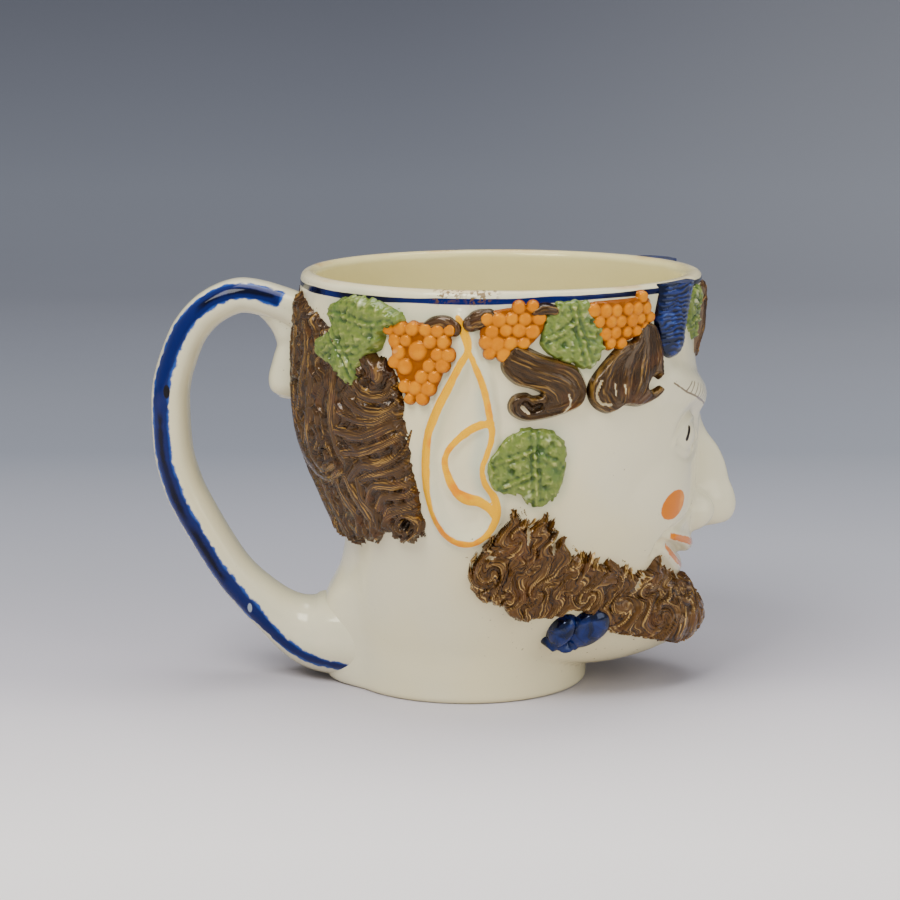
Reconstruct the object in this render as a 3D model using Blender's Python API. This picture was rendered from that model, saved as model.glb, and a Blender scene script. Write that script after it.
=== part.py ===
"""Satyr mug: a pressed, head-shaped earthenware body with a strap handle luted on its back.

The mug stands on its flat foot, whose centre is the origin. The face looks along +X and the
handle is at -X. The carving is laid out on the outer wall by an angle in degrees, counted from
the middle of the face to either side, and by a height in percent of the mug's own height.
"""
import math

import bmesh
import bpy
import numpy as np
from mathutils import Matrix, Vector

# Vessel, in metres
HEIGHT = 0.112
RIM_RADIUS = 0.0539
RIM_LEAD = 0.0095
FOOT_RADIUS = 0.0329
FOOT_ROUNDING = 0.0014
WALL = 0.0042
FLOOR = 0.0055

# Handle, in metres
HANDLE_REACH = 0.0403
HANDLE_THICKNESS = 0.0098
HANDLE_WIDTH = 0.0155

# The carving's typed widths are millimetres on a mug 112 mm high, and grow with the mug
MILLIMETRE = HEIGHT / 112

# Relief, in metres
HAIR_RELIEF = 0.0023
CURL_RELIEF = 0.0026
BEARD_RELIEF = 0.0024
LEAF_RELIEF = 0.0022
BERRY_RADIUS = 0.0024
BERRY_RELIEF = 0.0027
HORN_RELIEF = 0.0036
EAR_RELIEF = 0.0016
KNOT_RELIEF = 0.0045
NOSE_RELIEF = 0.0116

# Mesh density, and the number of facets kept on the carved outside and in the hollow
COLUMNS = 336
ROWS = 100
CAVITY_COLUMNS = 96
CAVITY_ROWS = 40
HANDLE_STATIONS = 40
HANDLE_SIDES = 16
OUTSIDE_FACETS = 7000
CAVITY_FACETS = 1500

# Profiles: height in percent, then the share of the way from the foot's radius to the rim's
SIDE_PROFILE = ((0, 0), (5, 0.02), (11, 0.07), (18, 0.195), (27, 0.386), (36, 0.586), (45, 0.757),
                (54, 0.881), (62, 0.952), (71, 0.986), (80, 0.996), (100, 1))
BACK_PROFILE = ((0, 0), (18, 0.01), (30, 0.01), (36, 0.03), (45, 0.34), (54, 0.72), (62, 0.96),
                (71, 1.07), (80, 1.08), (90, 1.04), (100, 1))
FACE_PROFILE = ((0, 0.954), (9, 0.97), (16, 0.993), (21, 0.905), (25, 0.81), (30, 0.843),
                (38, 0.941), (49, 0.961), (65, 0.98), (71, 0.993), (79, 0.941), (88, 0.941), (100, 1))
NECK_PROFILE = ((0, 0), (5, 0.014), (11, 0.052), (18, 0.124), (27, 0.243), (36, 0.386),
                (45, 0.576), (62, 0.814), (80, 0.957), (100, 1))
LEAD_PROFILE = ((0, 0), (5, 0), (18, 0.05), (36, 0.23), (54, 0.547), (71, 0.81), (89, 0.958), (100, 1))
NOSE_PROFILE = ((71, 0), (67, 0.02), (64, 0.08), (61, 0.22), (57, 0.5), (53, 0.7), (49, 0.82), (45, 0.96),
                (43, 1), (41, 0.96), (39.5, 0.8), (38, 0.36), (36, 0.05))
NOSE_HALF_WIDTH = ((36, 6), (39.5, 8), (43, 8.8), (49, 7.2), (57, 6), (64, 5.2), (71, 7))

# Outlines and lines on the wall: degrees from the middle of the face, height in percent
BACK_HAIR = ((190, 92), (160, 91.5), (146, 89), (124, 86), (117, 77), (115, 70), (112, 63),
             (107, 52), (106, 43), (114, 41.5), (127, 40.5), (138, 37.5), (150, 38), (165, 39), (190, 36))
BEARD = ((-8, 24.5), (8, 26), (20, 28), (31, 31), (43, 35.5), (57, 37), (69, 46), (77, 48), (83, 50),
         (90, 41), (92, 34), (86, 27), (76, 22.5), (59, 21), (32, 15.5), (20, 12.5), (8, 9.5), (-8, 8.5))
EAR_RIM = ((102, 94.5), (101, 84), (106, 73), (108, 62), (106, 53), (101, 45), (94, 41.8),
           (87, 45), (87, 53), (92, 60), (91, 66), (94, 79), (99, 87))
EAR_BOWL = ((92, 70.5), (98, 68), (103, 62.5), (101, 56), (96, 52.5), (90, 51), (87, 48.5))
BROW = ((2, 70.5), (12, 71.5), (25, 75.5), (38, 77.5))
UPPER_LID = ((13, 62), (17, 65.8), (23, 67.4), (29, 66.2), (33, 63.4))
LOWER_LID = ((13, 61.5), (18, 60), (24, 59.4), (30, 60.6), (33, 62.8))
UPPER_LIP = ((-6, 33.7), (6, 33.9), (18, 37), (29, 40.3))
MOUTH = ((-6, 30.5), (6, 31), (18, 34.8), (30, 38.8))
LOWER_LIP = ((-6, 27.3), (6, 27.8), (18, 31.8), (28, 36.6))
CHEEK_CREASE = ((13, 43.5), (22, 43), (30, 41))

# Locks of hair: width in millimetres, then the line that the lock follows
FRONT_LOCKS = (
    (6.0, ((88, 86.5), (80, 85.5), (72, 82), (68, 78), (71, 74), (79, 72), (86, 73), (86.5, 76), (82, 76.5))),
    (5.0, ((90, 83.5), (83, 81.5), (76, 80.5), (74, 77.5), (78, 75.5))),
    (5.5, ((50, 91), (44.5, 88), (44, 80), (48, 75), (54, 74), (58, 76.5))),
    (5.0, ((56, 87.5), (51, 82.5), (53, 77.5))),
    (5.5, ((63, 83), (59, 77.5), (61, 73.5), (65, 75), (64, 78))),
    (5.0, ((3, 93.5), (5, 88), (4, 82.5), (0, 79.5))),
)
BACK_CURLS = (
    (5.5, ((128, 84), (119, 79), (116, 72), (117, 67))),
    (5.5, ((132, 78), (123, 72), (116, 66), (115, 62.5))),
    (5.5, ((133, 70), (124, 65), (115, 60), (112, 56))),
    (5.5, ((132, 62), (123, 58), (113, 55), (110, 50))),
    (5.5, ((130, 55), (121, 53), (112, 50), (109, 46), (113, 43), (117, 45.5), (114, 47.5))),
    (5.0, ((131, 48), (124, 46), (121, 43), (125, 41.5))),
)
GRAPES = (
    (((124, 92), (112, 94), (104, 92.5), (103, 85), (108, 76), (114, 74.5), (121, 82))),
    (((96, 97), (80, 98), (78, 90), (86, 84.5), (95, 87))),
    (((67, 98.5), (47, 98.5), (45, 90), (53, 84.5), (65, 89))),
)
# Leaves: centre, width and height in millimetres, and the turn of the tip from straight down
LEAVES = (
    ((134, 87.5), 27.0, 24.0, -12.0),
    ((71.5, 90.0), 17.0, 18.5, 10.0),
    ((79.5, 60.5), 19.5, 22.5, 15.0),
    ((17.0, 87.5), 15.0, 19.0, 0.0),
)
STEMS = (
    (3.4, ((111, 91.5), (105, 93.2), (100, 92))),
    (3.4, ((100, 91.5), (97, 93.5), (94, 95))),
    (2.6, ((83, 95.5), (76, 95.8))),
)
HORN = (7.0, ((36, 82.5), (36.5, 90), (36, 99.5)))
KNOT_LOBES = (((54.5, 18.0), 5.2, 5.0), ((44.0, 19.0), 7.0, 5.8))

# Handle: share of the reach behind the rim, and share of the mug's height
HANDLE_PATH = ((-0.12, 0.868), (0.01, 0.893), (0.11, 0.911), (0.26, 0.929), (0.40, 0.936),
               (0.53, 0.922), (0.65, 0.893), (0.75, 0.849), (0.82, 0.791), (0.87, 0.730),
               (0.885, 0.669), (0.87, 0.558), (0.81, 0.474), (0.74, 0.419), (0.61, 0.335),
               (0.48, 0.262), (0.34, 0.206), (0.18, 0.157), (0.04, 0.130), (-0.09, 0.118), (-0.30, 0.122))
# Handle sections: share of the way along, thickness and width as shares of the handle's own
HANDLE_SWELL = ((0, 1.15, 1.15), (0.08, 0.98, 1.05), (0.3, 1.0, 0.95), (0.6, 1.1, 0.95), (0.8, 1.22, 1.05),
                (0.85, 1.4, 1.1), (0.9, 1.78, 1.2), (0.95, 2.15, 1.32), (1, 2.4, 1.45))
# The neck swells out to meet the handle: height in percent, then the swelling as a share of the foot's radius
HANDLE_ROOT = ((0, 0.13), (1.3, 0.16), (4.6, 0.20), (9, 0.22), (15, 0.21), (19, 0.18), (22, 0.145),
               (24.5, 0.10), (28, 0.045), (32, 0.012), (35, 0))
HANDLE_ROOT_SPREAD = (8, 36)
# The drop of clay under the handle's upper end: share of the reach, share of the height, radius in millimetres
HANDLE_DROP = ((-0.03, 0.905, 5.6), (0.055, 0.865, 5.2), (0.085, 0.835, 4.6), (0.105, 0.80, 4.7),
               (0.115, 0.765, 5.2), (0.105, 0.735, 4.4), (0.095, 0.715, 2.4))


def spline(knots, where):
    """Smooth values through (position, value) knots at each position asked for."""
    knots = sorted(knots)
    places = np.array([float(knot[0]) for knot in knots])
    values = np.array([float(knot[1]) for knot in knots])
    slopes = np.gradient(values, places)
    left = np.clip(np.searchsorted(places, where) - 1, 0, len(places) - 2)
    gap = places[left + 1] - places[left]
    t = np.clip((where - places[left]) / gap, 0, 1)
    rise = t * t * (3 - 2 * t)
    bend = t * (1 - t) * gap
    return (values[left] * (1 - rise) + values[left + 1] * rise
            + bend * (1 - t) * slopes[left] - bend * t * slopes[left + 1])


def ease(low, high, value):
    """Zero below low, one above high, smooth between."""
    t = np.clip((value - low) / (high - low), 0, 1)
    return t * t * (3 - 2 * t)


def head_radius(angle, percent):
    """Distance of the plain outer wall from its own axis at an angle and a height."""
    spread = RIM_RADIUS - FOOT_RADIUS
    lead = RIM_LEAD * spline(LEAD_PROFILE, percent)
    side = FOOT_RADIUS + spread * spline(SIDE_PROFILE, percent)
    back = FOOT_RADIUS + (spread - RIM_LEAD) * spline(BACK_PROFILE, percent) + lead
    face = FOOT_RADIUS + (spread + RIM_LEAD) * spline(FACE_PROFILE, percent) - lead
    neck = FOOT_RADIUS + spread * spline(NECK_PROFILE, percent)
    squareness = 2 + 0.25 * ease(27, 45, percent) * (1 - ease(76, 94, percent))
    along = np.abs(np.cos(angle))
    aside = np.abs(np.sin(angle))
    ahead = np.cos(angle) > 0

    def oval(depth, power):
        return ((along / depth) ** power + (aside / side) ** power) ** (-1 / power)

    rear = oval(back, 2)
    full = np.where(ahead, oval(face, squareness), rear)
    throat = np.where(ahead, oval(neck, 2), rear)
    degrees = np.degrees(np.abs(angle))
    chin_level = 4.9 + (degrees / 60) ** 2 * 6.2
    chin_depth = 11.6 + degrees / 60 * 7
    t = np.clip((percent - chin_level) / chin_depth, 0, 1)
    rounded = np.sqrt(1 - (1 - t) ** 2)
    sloping = t * t * (3 - 2 * t)
    turn = ease(20, 70, degrees)
    return throat + (full - throat) * (rounded * (1 - turn) + sloping * turn)


def head_point(angle, percent, share=1.0):
    """Point of the plain outer wall, or inside it at a share of its radius."""
    radius = head_radius(angle, percent) * share
    lead = RIM_LEAD * spline(LEAD_PROFILE, percent)
    return np.stack([lead + radius * np.cos(angle), radius * np.sin(angle), HEIGHT * percent / 100], -1)


def on_wall(points):
    """Turn (degrees, percent) points into distances across and up the wall."""
    degree = RIM_RADIUS * math.pi / 180
    return np.array([(point[0] * degree, point[1] / 100 * HEIGHT) for point in points])


def smooth_line(points, pieces=5):
    """Points of a smooth open line through the given ones."""
    line = on_wall(points)
    knots = np.arange(len(line), dtype=float)
    where = np.linspace(0, len(line) - 1, pieces * (len(line) - 1) + 1)
    across = spline(list(zip(knots, line[:, 0])), where)
    up = spline(list(zip(knots, line[:, 1])), where)
    return np.stack([across, up], -1)


def distance_to_line(spots, line):
    """Distance of each spot to a line, and how far along the line its nearest point is."""
    best = np.full(len(spots), np.inf)
    along = np.zeros(len(spots))
    for step in range(len(line) - 1):
        start = line[step]
        run = line[step + 1] - start
        t = np.clip(((spots - start) @ run) / (run @ run), 0, 1)
        gap = np.linalg.norm(spots - start - t[:, None] * run, axis=1)
        closer = gap < best
        best = np.where(closer, gap, best)
        along = np.where(closer, (step + t) / (len(line) - 1), along)
    return best, along


def depth_inside(spots, outline):
    """Distance of each spot inside a closed outline, negative outside it."""
    corners = smooth_line(tuple(outline) + (outline[0],), 3)
    gap = distance_to_line(spots, corners)[0]
    inside = np.zeros(len(spots), dtype=bool)
    for start, end in zip(corners[:-1], corners[1:]):
        crosses = (start[1] > spots[:, 1]) != (end[1] > spots[:, 1])
        rise = end[1] - start[1]
        if rise == 0:
            continue
        reach = start[0] + (spots[:, 1] - start[1]) / rise * (end[0] - start[0])
        inside ^= crosses & (spots[:, 0] < reach)
    return np.where(inside, gap, -gap)


def mound(spots, centre, size):
    """A smooth dome from one at its centre to zero at its rim, of a size in millimetres."""
    middle = on_wall((centre,))[0]
    wide = size[0] * MILLIMETRE
    tall = size[1] * MILLIMETRE
    t = ((spots[:, 0] - middle[0]) / wide) ** 2 + ((spots[:, 1] - middle[1]) / tall) ** 2
    return np.clip(1 - t, 0, None) ** 0.75


def lock(spots, width, points, pieces=5):
    """A crowned lock along a line, full at its root and narrower at its tip."""
    line = smooth_line(points, pieces)
    reach = width / 2 * MILLIMETRE
    close = np.all((spots > line.min(axis=0) - reach) & (spots < line.max(axis=0) + reach), axis=1)
    crown = np.zeros(len(spots))
    gap, along = distance_to_line(spots[close], line)
    half = reach * (1 - 0.35 * along)
    crown[close] = np.sqrt(np.clip(1 - (gap / half) ** 2, 0, None))
    return crown


def raised(height, crown):
    """Where a crown stands, its height in metres."""
    return height * crown


def back_hair(spots):
    """Wavy strands down the back of the head, and curls sweeping towards the ear."""
    cover = ease(0, 1.2 * MILLIMETRE, depth_inside(spots, BACK_HAIR))
    crown = np.full(len(spots), 0.25)
    strands = 13
    for number in range(strands):
        root = 186 - number * 5.2
        line = [(root + 2.9 * math.sin(number * 0.9 + step * 1.5) - step * 1.0, 93 - step * 8.2)
                for step in range(8)]
        crown = np.maximum(crown, lock(spots, 5.6, line, 3) * (0.8 + 0.2 * (number % 2)))
    for width, line in BACK_CURLS:
        crown = np.maximum(crown, lock(spots, width, line))
    return raised(HAIR_RELIEF, cover * (0.35 + 0.65 * crown))


def front_hair(spots):
    """Curls that fall from under the wreath over the brow and temples."""
    crown = np.zeros(len(spots))
    for width, line in FRONT_LOCKS:
        crown = np.maximum(crown, lock(spots, width, line))
    return raised(CURL_RELIEF, crown)


def comma(degrees, percent, heading, turn):
    """A short lock that curls round as it goes."""
    line = []
    for step in range(6):
        line.append((degrees, percent))
        degrees += 2.6 * math.cos(heading) * (1 - step * 0.09)
        percent += 2.2 * math.sin(heading) * (1 - step * 0.09)
        heading += turn
    return line


def beard(spots):
    """Rows of short curls over the cheek and chin, inside one frayed edge."""
    cover = ease(0, 1.6 * MILLIMETRE, depth_inside(spots, BEARD))
    crown = np.full(len(spots), 0.2)
    for column in range(19):
        degrees = -3 + column * 5.1
        top = float(spline(((0, 25), (31, 31), (57, 37), (77, 48), (92, 42)), degrees))
        foot = float(spline(((0, 9), (32, 16), (59, 21.5), (76, 23.5), (92, 32)), degrees))
        for row in range(3):
            percent = top + (foot - top) * (row + 0.45) / 3
            sense = 1 if (row + column) % 2 else -1
            line = comma(degrees, percent, -1.9 * sense, 0.85 * sense)
            crown = np.maximum(crown, lock(spots, 4.6, line, 2))
    return raised(BEARD_RELIEF, cover * (0.45 + 0.55 * crown))


def vine_leaf(spots, centre, width, height, turn):
    """A five-lobed leaf with a groove down the vein of each lobe."""
    middle = on_wall((centre,))[0]
    across = (spots[:, 0] - middle[0]) / (width / 2 * MILLIMETRE)
    up = (spots[:, 1] - middle[1]) / (height / 2 * MILLIMETRE)
    around = np.arctan2(across, -up) - math.radians(turn)
    lobes = np.abs(np.cos(2.5 * around))
    edge = 0.78 + 0.22 * lobes ** 0.6
    inside = edge - np.hypot(across, up)
    body = ease(0, 0.16, inside)
    vein = np.clip((lobes - 0.93) / 0.07, 0, 1)
    return raised(LEAF_RELIEF, body * (0.62 + 0.38 * lobes - 0.35 * vein))


def bunch(spots, outline):
    """Round berries packed in rows inside an outline."""
    edges = on_wall(outline)
    low = edges.min(axis=0)
    high = edges.max(axis=0)
    pitch = BERRY_RADIUS * 1.78
    crown = np.zeros(len(spots))
    row = 0
    up = low[1] + BERRY_RADIUS * 0.8
    while up < high[1]:
        across = low[0] + BERRY_RADIUS * (0.8 + 0.9 * (row % 2))
        while across < high[0]:
            berry = np.array([[across, up]])
            if depth_inside(berry, outline)[0] > BERRY_RADIUS * 0.45:
                gap = np.linalg.norm(spots - berry, axis=1) / BERRY_RADIUS
                crown = np.maximum(crown, np.clip(1 - gap ** 2, 0, None) ** 0.6)
            across += pitch
        up += pitch * 0.87
        row += 1
    bed = ease(0, MILLIMETRE, depth_inside(spots, outline)) * 0.25
    return raised(BERRY_RELIEF, np.maximum(bed, crown))


def horn(spots):
    """A short blunt horn, ribbed across, that rises to the rim."""
    width, line = HORN
    gap, along = distance_to_line(spots, smooth_line(line, 6))
    crown = np.sqrt(np.clip(1 - (gap / (width * MILLIMETRE)) ** 2, 0, None))
    ribs = 1 - 0.16 * np.cos(along * 7 * 2 * math.pi) ** 2
    return raised(HORN_RELIEF, crown * ribs)


def ear(spots):
    """A long pointed ear: a raised rim, a dished middle and a small bowl."""
    rim_gap = distance_to_line(spots, smooth_line(EAR_RIM + (EAR_RIM[0],), 4))[0]
    bowl_gap = distance_to_line(spots, smooth_line(EAR_BOWL, 4))[0]
    rim = np.clip(1 - (rim_gap / (2.6 * MILLIMETRE)) ** 2, 0, None)
    bowl = np.clip(1 - (bowl_gap / (2.2 * MILLIMETRE)) ** 2, 0, None)
    dish = ease(0, 5 * MILLIMETRE, depth_inside(spots, EAR_RIM))
    return raised(EAR_RELIEF, np.maximum(rim, 0.75 * bowl) - 0.35 * dish)


def face(spots):
    """Brow, eye, cheek and mouth of one side, without the nose."""
    height = 1.4 * lock(spots, 9.0, BROW) ** 1.5
    height -= 1.9 * mound(spots, (23, 64), (11.0, 6.6))
    height += 2.6 * mound(spots, (23, 63.3), (8.0, 4.4))
    height += 0.9 * lock(spots, 2.8, UPPER_LID)
    height += 0.7 * lock(spots, 2.6, LOWER_LID)
    height += 1.2 * mound(spots, (32, 49), (14, 11))
    height -= 0.8 * lock(spots, 2.6, CHEEK_CREASE)
    height += 1.4 * lock(spots, 5.0, UPPER_LIP)
    height += 0.9 * lock(spots, 5.0, LOWER_LIP)
    height -= 1.5 * lock(spots, 3.4, MOUTH)
    return height * MILLIMETRE


def nose(spots):
    """A long straight nose, with its wings, on the middle of the face."""
    percent = spots[:, 1] / HEIGHT * 100
    rise = spline(NOSE_PROFILE, percent) * ((percent > 36) & (percent < 71))
    half = spline(NOSE_HALF_WIDTH, percent) * MILLIMETRE
    across = np.clip(np.abs(spots[:, 0]) / half, 0, 1)
    ridge = (1 - across ** 2) ** 1.25
    wing = mound(spots, (7.6, 42.3), (5.6, 5.2))
    return NOSE_RELIEF * np.maximum(rise * ridge, 0.5 * wing)


def knot(spots):
    """Two round lobes of the tied beard end, under the jaw."""
    crown = np.zeros(len(spots))
    for centre, wide, tall in KNOT_LOBES:
        crown = np.maximum(crown, mound(spots, centre, (wide, tall)) ** 0.8)
    return raised(KNOT_RELIEF, crown)


def carving(angle, percent):
    """Height of all the carving above the plain wall."""
    spots = np.stack([np.degrees(np.abs(angle)) * RIM_RADIUS * math.pi / 180, percent / 100 * HEIGHT], -1)
    hair = np.maximum(np.maximum(back_hair(spots), front_hair(spots)), beard(spots))
    wreath = np.zeros(len(spots))
    for centre, width, tall, turn in LEAVES:
        wreath = np.maximum(wreath, vine_leaf(spots, centre, width, tall, turn))
    for width, line in STEMS:
        wreath = np.maximum(wreath, raised(LEAF_RELIEF, lock(spots, width, line)))
    for outline in GRAPES:
        fruit = bunch(spots, outline)
        wreath = np.where(fruit > 0, fruit, wreath)
    height = np.where(wreath > 0, wreath + HAIR_RELIEF * 0.2 * (hair > 0), hair)
    height = np.maximum(height, horn(spots))
    height = np.maximum(height, knot(spots))
    bare = height < 0.0001
    height = height + np.where(bare, ear(spots) + face(spots), 0) + nose(spots)
    return height * ease(0, 4, percent) * (1 - ease(97.5, 99.5, percent))


def turned_blank(name, levels, columns):
    """A closed cylinder of unit radius, with a row of points at each level from 0 to 1."""
    blank = bmesh.new()
    profile = [(0.0, levels[0]), (0.5, levels[0])]
    profile += [(1.0, level) for level in levels]
    profile += [(0.5, levels[-1]), (0.0, levels[-1])]
    points = [blank.verts.new((radius, 0, level)) for radius, level in profile]
    lines = [blank.edges.new(pair) for pair in zip(points[:-1], points[1:])]
    bmesh.ops.spin(blank, geom=points + lines, cent=(0, 0, 0), axis=(0, 0, 1), dvec=(0, 0, 0),
                   angle=2 * math.pi, steps=columns, use_merge=True)
    bmesh.ops.remove_doubles(blank, verts=blank.verts, dist=1e-6)
    bmesh.ops.recalc_face_normals(blank, faces=blank.faces)
    mesh = bpy.data.meshes.new(name)
    blank.to_mesh(mesh)
    blank.free()
    return mesh


def blank_places(mesh):
    """Angle, level and share of the radius of every point of a turned blank."""
    points = np.array([vertex.co[:] for vertex in mesh.vertices])
    share = np.hypot(points[:, 0], points[:, 1])
    angle = np.where(share > 1e-6, np.arctan2(points[:, 1], points[:, 0]), 0.0)
    return angle, points[:, 2], share


def move_points(mesh, points):
    """Put the mesh's points at new places."""
    for vertex, point in zip(mesh.vertices, points):
        vertex.co = point


def handle_root(angle, percent):
    """How far the neck swells out to meet the foot of the handle."""
    from_back = 180 - np.degrees(np.abs(angle))
    full, gone = HANDLE_ROOT_SPREAD
    return FOOT_RADIUS * spline(HANDLE_ROOT, percent) * (percent < 35) * (1 - ease(full, gone, from_back))


def edge_levels(count, low_edge, high_edge):
    """Even levels from 0 to 1, with a few more where an edge of given share is rounded."""
    even = np.linspace(low_edge, 1 - high_edge, count)
    foot = [low_edge * (1 - math.cos(step * math.pi / 8)) for step in range(4)]
    lip = [1 - high_edge * (1 - math.sin(step * math.pi / 8)) for step in range(1, 5)]
    return [float(level) for level in foot + list(even) + lip]


def rounding(distance, radius):
    """How far a rounded edge draws in, at a distance from its end."""
    t = np.clip(1 - distance / radius, 0, 1)
    return radius * (1 - np.sqrt(1 - t ** 2))


def outer_body():
    """The head's outside with all its carving, as a full solid."""
    levels = edge_levels(ROWS, FOOT_ROUNDING / HEIGHT, WALL / 2 / HEIGHT)
    mesh = turned_blank("outer_form", levels, COLUMNS)
    angle, level, share = blank_places(mesh)
    percent = level * 100
    plain = head_point(angle, percent)
    step = 0.01
    round_about = head_point(angle + step, percent) - head_point(angle - step, percent)
    upward = head_point(angle, np.clip(percent + 1, 0, 100)) - head_point(angle, np.clip(percent - 1, 0, 100))
    outward = np.cross(round_about, upward)
    outward /= np.linalg.norm(outward, axis=1)[:, None]
    outward[:, 2] *= ease(4, 12, percent) * (1 - ease(94, 99, percent))
    carved = plain + outward * carving(angle, percent)[:, None]
    swelling = handle_root(angle, percent)
    carved[:, 0] += np.cos(angle) * swelling
    carved[:, 1] += np.sin(angle) * swelling
    height = level * HEIGHT
    drawn_in = rounding(height, FOOT_ROUNDING) + rounding(HEIGHT - height, WALL / 2)
    middle = head_point(angle, percent, 0.0)
    radius = np.linalg.norm((carved - middle)[:, :2], axis=1)
    tighter = (1 - drawn_in / np.maximum(radius, 1e-6)) * share
    points = middle + (carved - middle) * tighter[:, None]
    points[:, 2] = np.where(share > 0.99, points[:, 2], height)
    move_points(mesh, points)
    return new_object("mug", mesh)


def cavity():
    """The hollow inside: the plain form drawn in by the wall, down to the floor."""
    levels = edge_levels(CAVITY_ROWS, WALL / HEIGHT, WALL / 2 / HEIGHT)
    mesh = turned_blank("cavity_form", levels, CAVITY_COLUMNS)
    angle, level, share = blank_places(mesh)
    floor = FLOOR / HEIGHT * 100
    percent = floor + (100 - floor) * level
    radius = np.full(len(angle), np.inf)
    for step in np.linspace(-7, 3, 21):
        nearby = np.clip(percent + step, 0, 100)
        lead = RIM_LEAD * (spline(LEAD_PROFILE, nearby) - spline(LEAD_PROFILE, percent))
        radius = np.minimum(radius, head_radius(angle, nearby) + lead * np.cos(angle))
    from_floor = (percent - floor) / 100 * HEIGHT
    from_rim = (100 - percent) / 100 * HEIGHT
    radius = radius - WALL - rounding(from_floor, WALL) + rounding(from_rim, WALL / 2)
    lead = RIM_LEAD * spline(LEAD_PROFILE, percent)
    above = np.where(level > 0.9999, WALL, 0.0)
    points = np.stack([lead + radius * share * np.cos(angle), radius * share * np.sin(angle),
                       percent / 100 * HEIGHT + above], -1)
    move_points(mesh, points)
    return new_object("cavity", mesh)


def sweep(name, middle, sizes, sides):
    """A closed tube along the given middle points, with an oval section at each."""
    shape = bmesh.new()
    rings = []
    for station, centre in enumerate(middle):
        ahead = middle[min(station + 1, len(middle) - 1)] - middle[max(station - 1, 0)]
        facing = Matrix.Rotation(math.atan2(ahead.x, ahead.z), 4, "Y")
        oval = Matrix.Diagonal((*sizes[station], 1, 1))
        made = bmesh.ops.create_circle(shape, segments=sides, radius=1,
                                       matrix=Matrix.Translation(centre) @ facing @ oval)
        rings.append(made["verts"])
    for first, second in zip(rings[:-1], rings[1:]):
        both = [edge for ring in (first, second) for edge in ring_edges(ring)]
        bmesh.ops.bridge_loops(shape, edges=both)
    for ring in (rings[0], rings[-1]):
        shape.faces.new(ring)
    bmesh.ops.recalc_face_normals(shape, faces=shape.faces)
    mesh = bpy.data.meshes.new(name)
    shape.to_mesh(mesh)
    shape.free()
    return new_object(name, mesh)


def ring_edges(ring):
    """The edges that join the points of one ring."""
    members = set(ring)
    return {edge for point in ring for edge in point.link_edges
            if edge.verts[0] in members and edge.verts[1] in members}


def behind_rim(knots, stations):
    """Points behind the mug along a smooth line through (share of reach, share of height) knots."""
    order = np.arange(len(knots), dtype=float)
    where = np.linspace(0, len(knots) - 1, stations)
    reach = spline([(place, knot[0]) for place, knot in zip(order, knots)], where)
    level = spline([(place, knot[1]) for place, knot in zip(order, knots)], where)
    back = RIM_LEAD - RIM_RADIUS
    return where, [Vector((back - HANDLE_REACH * out, 0, HEIGHT * up)) for out, up in zip(reach, level)]


def handle():
    """The strap handle, an oval section lofted along its path, widest where it meets the neck."""
    where, middle = behind_rim(HANDLE_PATH, HANDLE_STATIONS)
    share = where / where[-1]
    thickness = HANDLE_THICKNESS * spline([(row[0], row[1]) for row in HANDLE_SWELL], share)
    width = HANDLE_WIDTH * spline([(row[0], row[2]) for row in HANDLE_SWELL], share)
    return sweep("handle", middle, list(zip(thickness / 2, width / 2)), HANDLE_SIDES)


def handle_drop():
    """The drop of clay that hangs from the handle's upper end down the head."""
    where, middle = behind_rim(HANDLE_DROP, 3 * len(HANDLE_DROP))
    order = np.arange(len(HANDLE_DROP), dtype=float)
    radius = MILLIMETRE * spline([(place, row[2]) for place, row in zip(order, HANDLE_DROP)], where)
    return sweep("handle_drop", middle, list(zip(radius, 1.2 * radius)), HANDLE_SIDES)


def new_object(name, mesh):
    """An object that holds the mesh, not yet in a collection."""
    return bpy.data.objects.new(name, mesh)


def glazed_earthenware():
    """Cream lead-glazed earthenware."""
    material = bpy.data.materials.new("glazed_earthenware")
    material.use_nodes = True
    shader = material.node_tree.nodes["Principled BSDF"]
    shader.inputs["Base Color"].default_value = (0.62, 0.58, 0.44, 1)
    shader.inputs["Roughness"].default_value = 0.18
    shader.inputs["Metallic"].default_value = 0.0
    return material


def add_boolean(piece, cutter, operation):
    """Join or cut the piece with another object."""
    modifier = piece.modifiers.new(cutter.name, "BOOLEAN")
    modifier.operation = operation
    modifier.solver = "EXACT"
    modifier.object = cutter


def keep_facets(piece, count):
    """Thin the piece's own mesh to about the given number of triangles, the carving last."""
    piece.data.calc_loop_triangles()
    thin = piece.modifiers.new("thin", "DECIMATE")
    thin.ratio = min(1.0, count / len(piece.data.loop_triangles))
    thin.use_collapse_triangulate = True


def main():
    """Build the mug."""
    for old in list(bpy.data.objects):
        bpy.data.objects.remove(old)
    parts = bpy.data.collections.new("satyr_mug")
    cutters = bpy.data.collections.new("satyr_mug_cutters")
    bpy.context.scene.collection.children.link(parts)
    bpy.context.scene.collection.children.link(cutters)
    mug = outer_body()
    keep_facets(mug, OUTSIDE_FACETS)
    parts.objects.link(mug)
    mug.data.materials.append(glazed_earthenware())
    hollow = cavity()
    keep_facets(hollow, CAVITY_FACETS)
    for tool, operation in ((handle(), "UNION"), (handle_drop(), "UNION"), (hollow, "DIFFERENCE")):
        cutters.objects.link(tool)
        tool.hide_render = True
        tool.display_type = "WIRE"
        add_boolean(mug, tool, operation)


main()
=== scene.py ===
"""Satyr mug: the glazed earthenware head with its moulded relief and painted colours.

Places on the wall are given by an angle in degrees from the middle of the face, the same on
both sides of the head, and by a height in millimetres above the table. Sizes are millimetres
until the finished points are scaled to metres.
"""
from __future__ import annotations

import logging
import math
from dataclasses import dataclass
from enum import Enum
from typing import Callable, Iterable, Sequence

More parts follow.
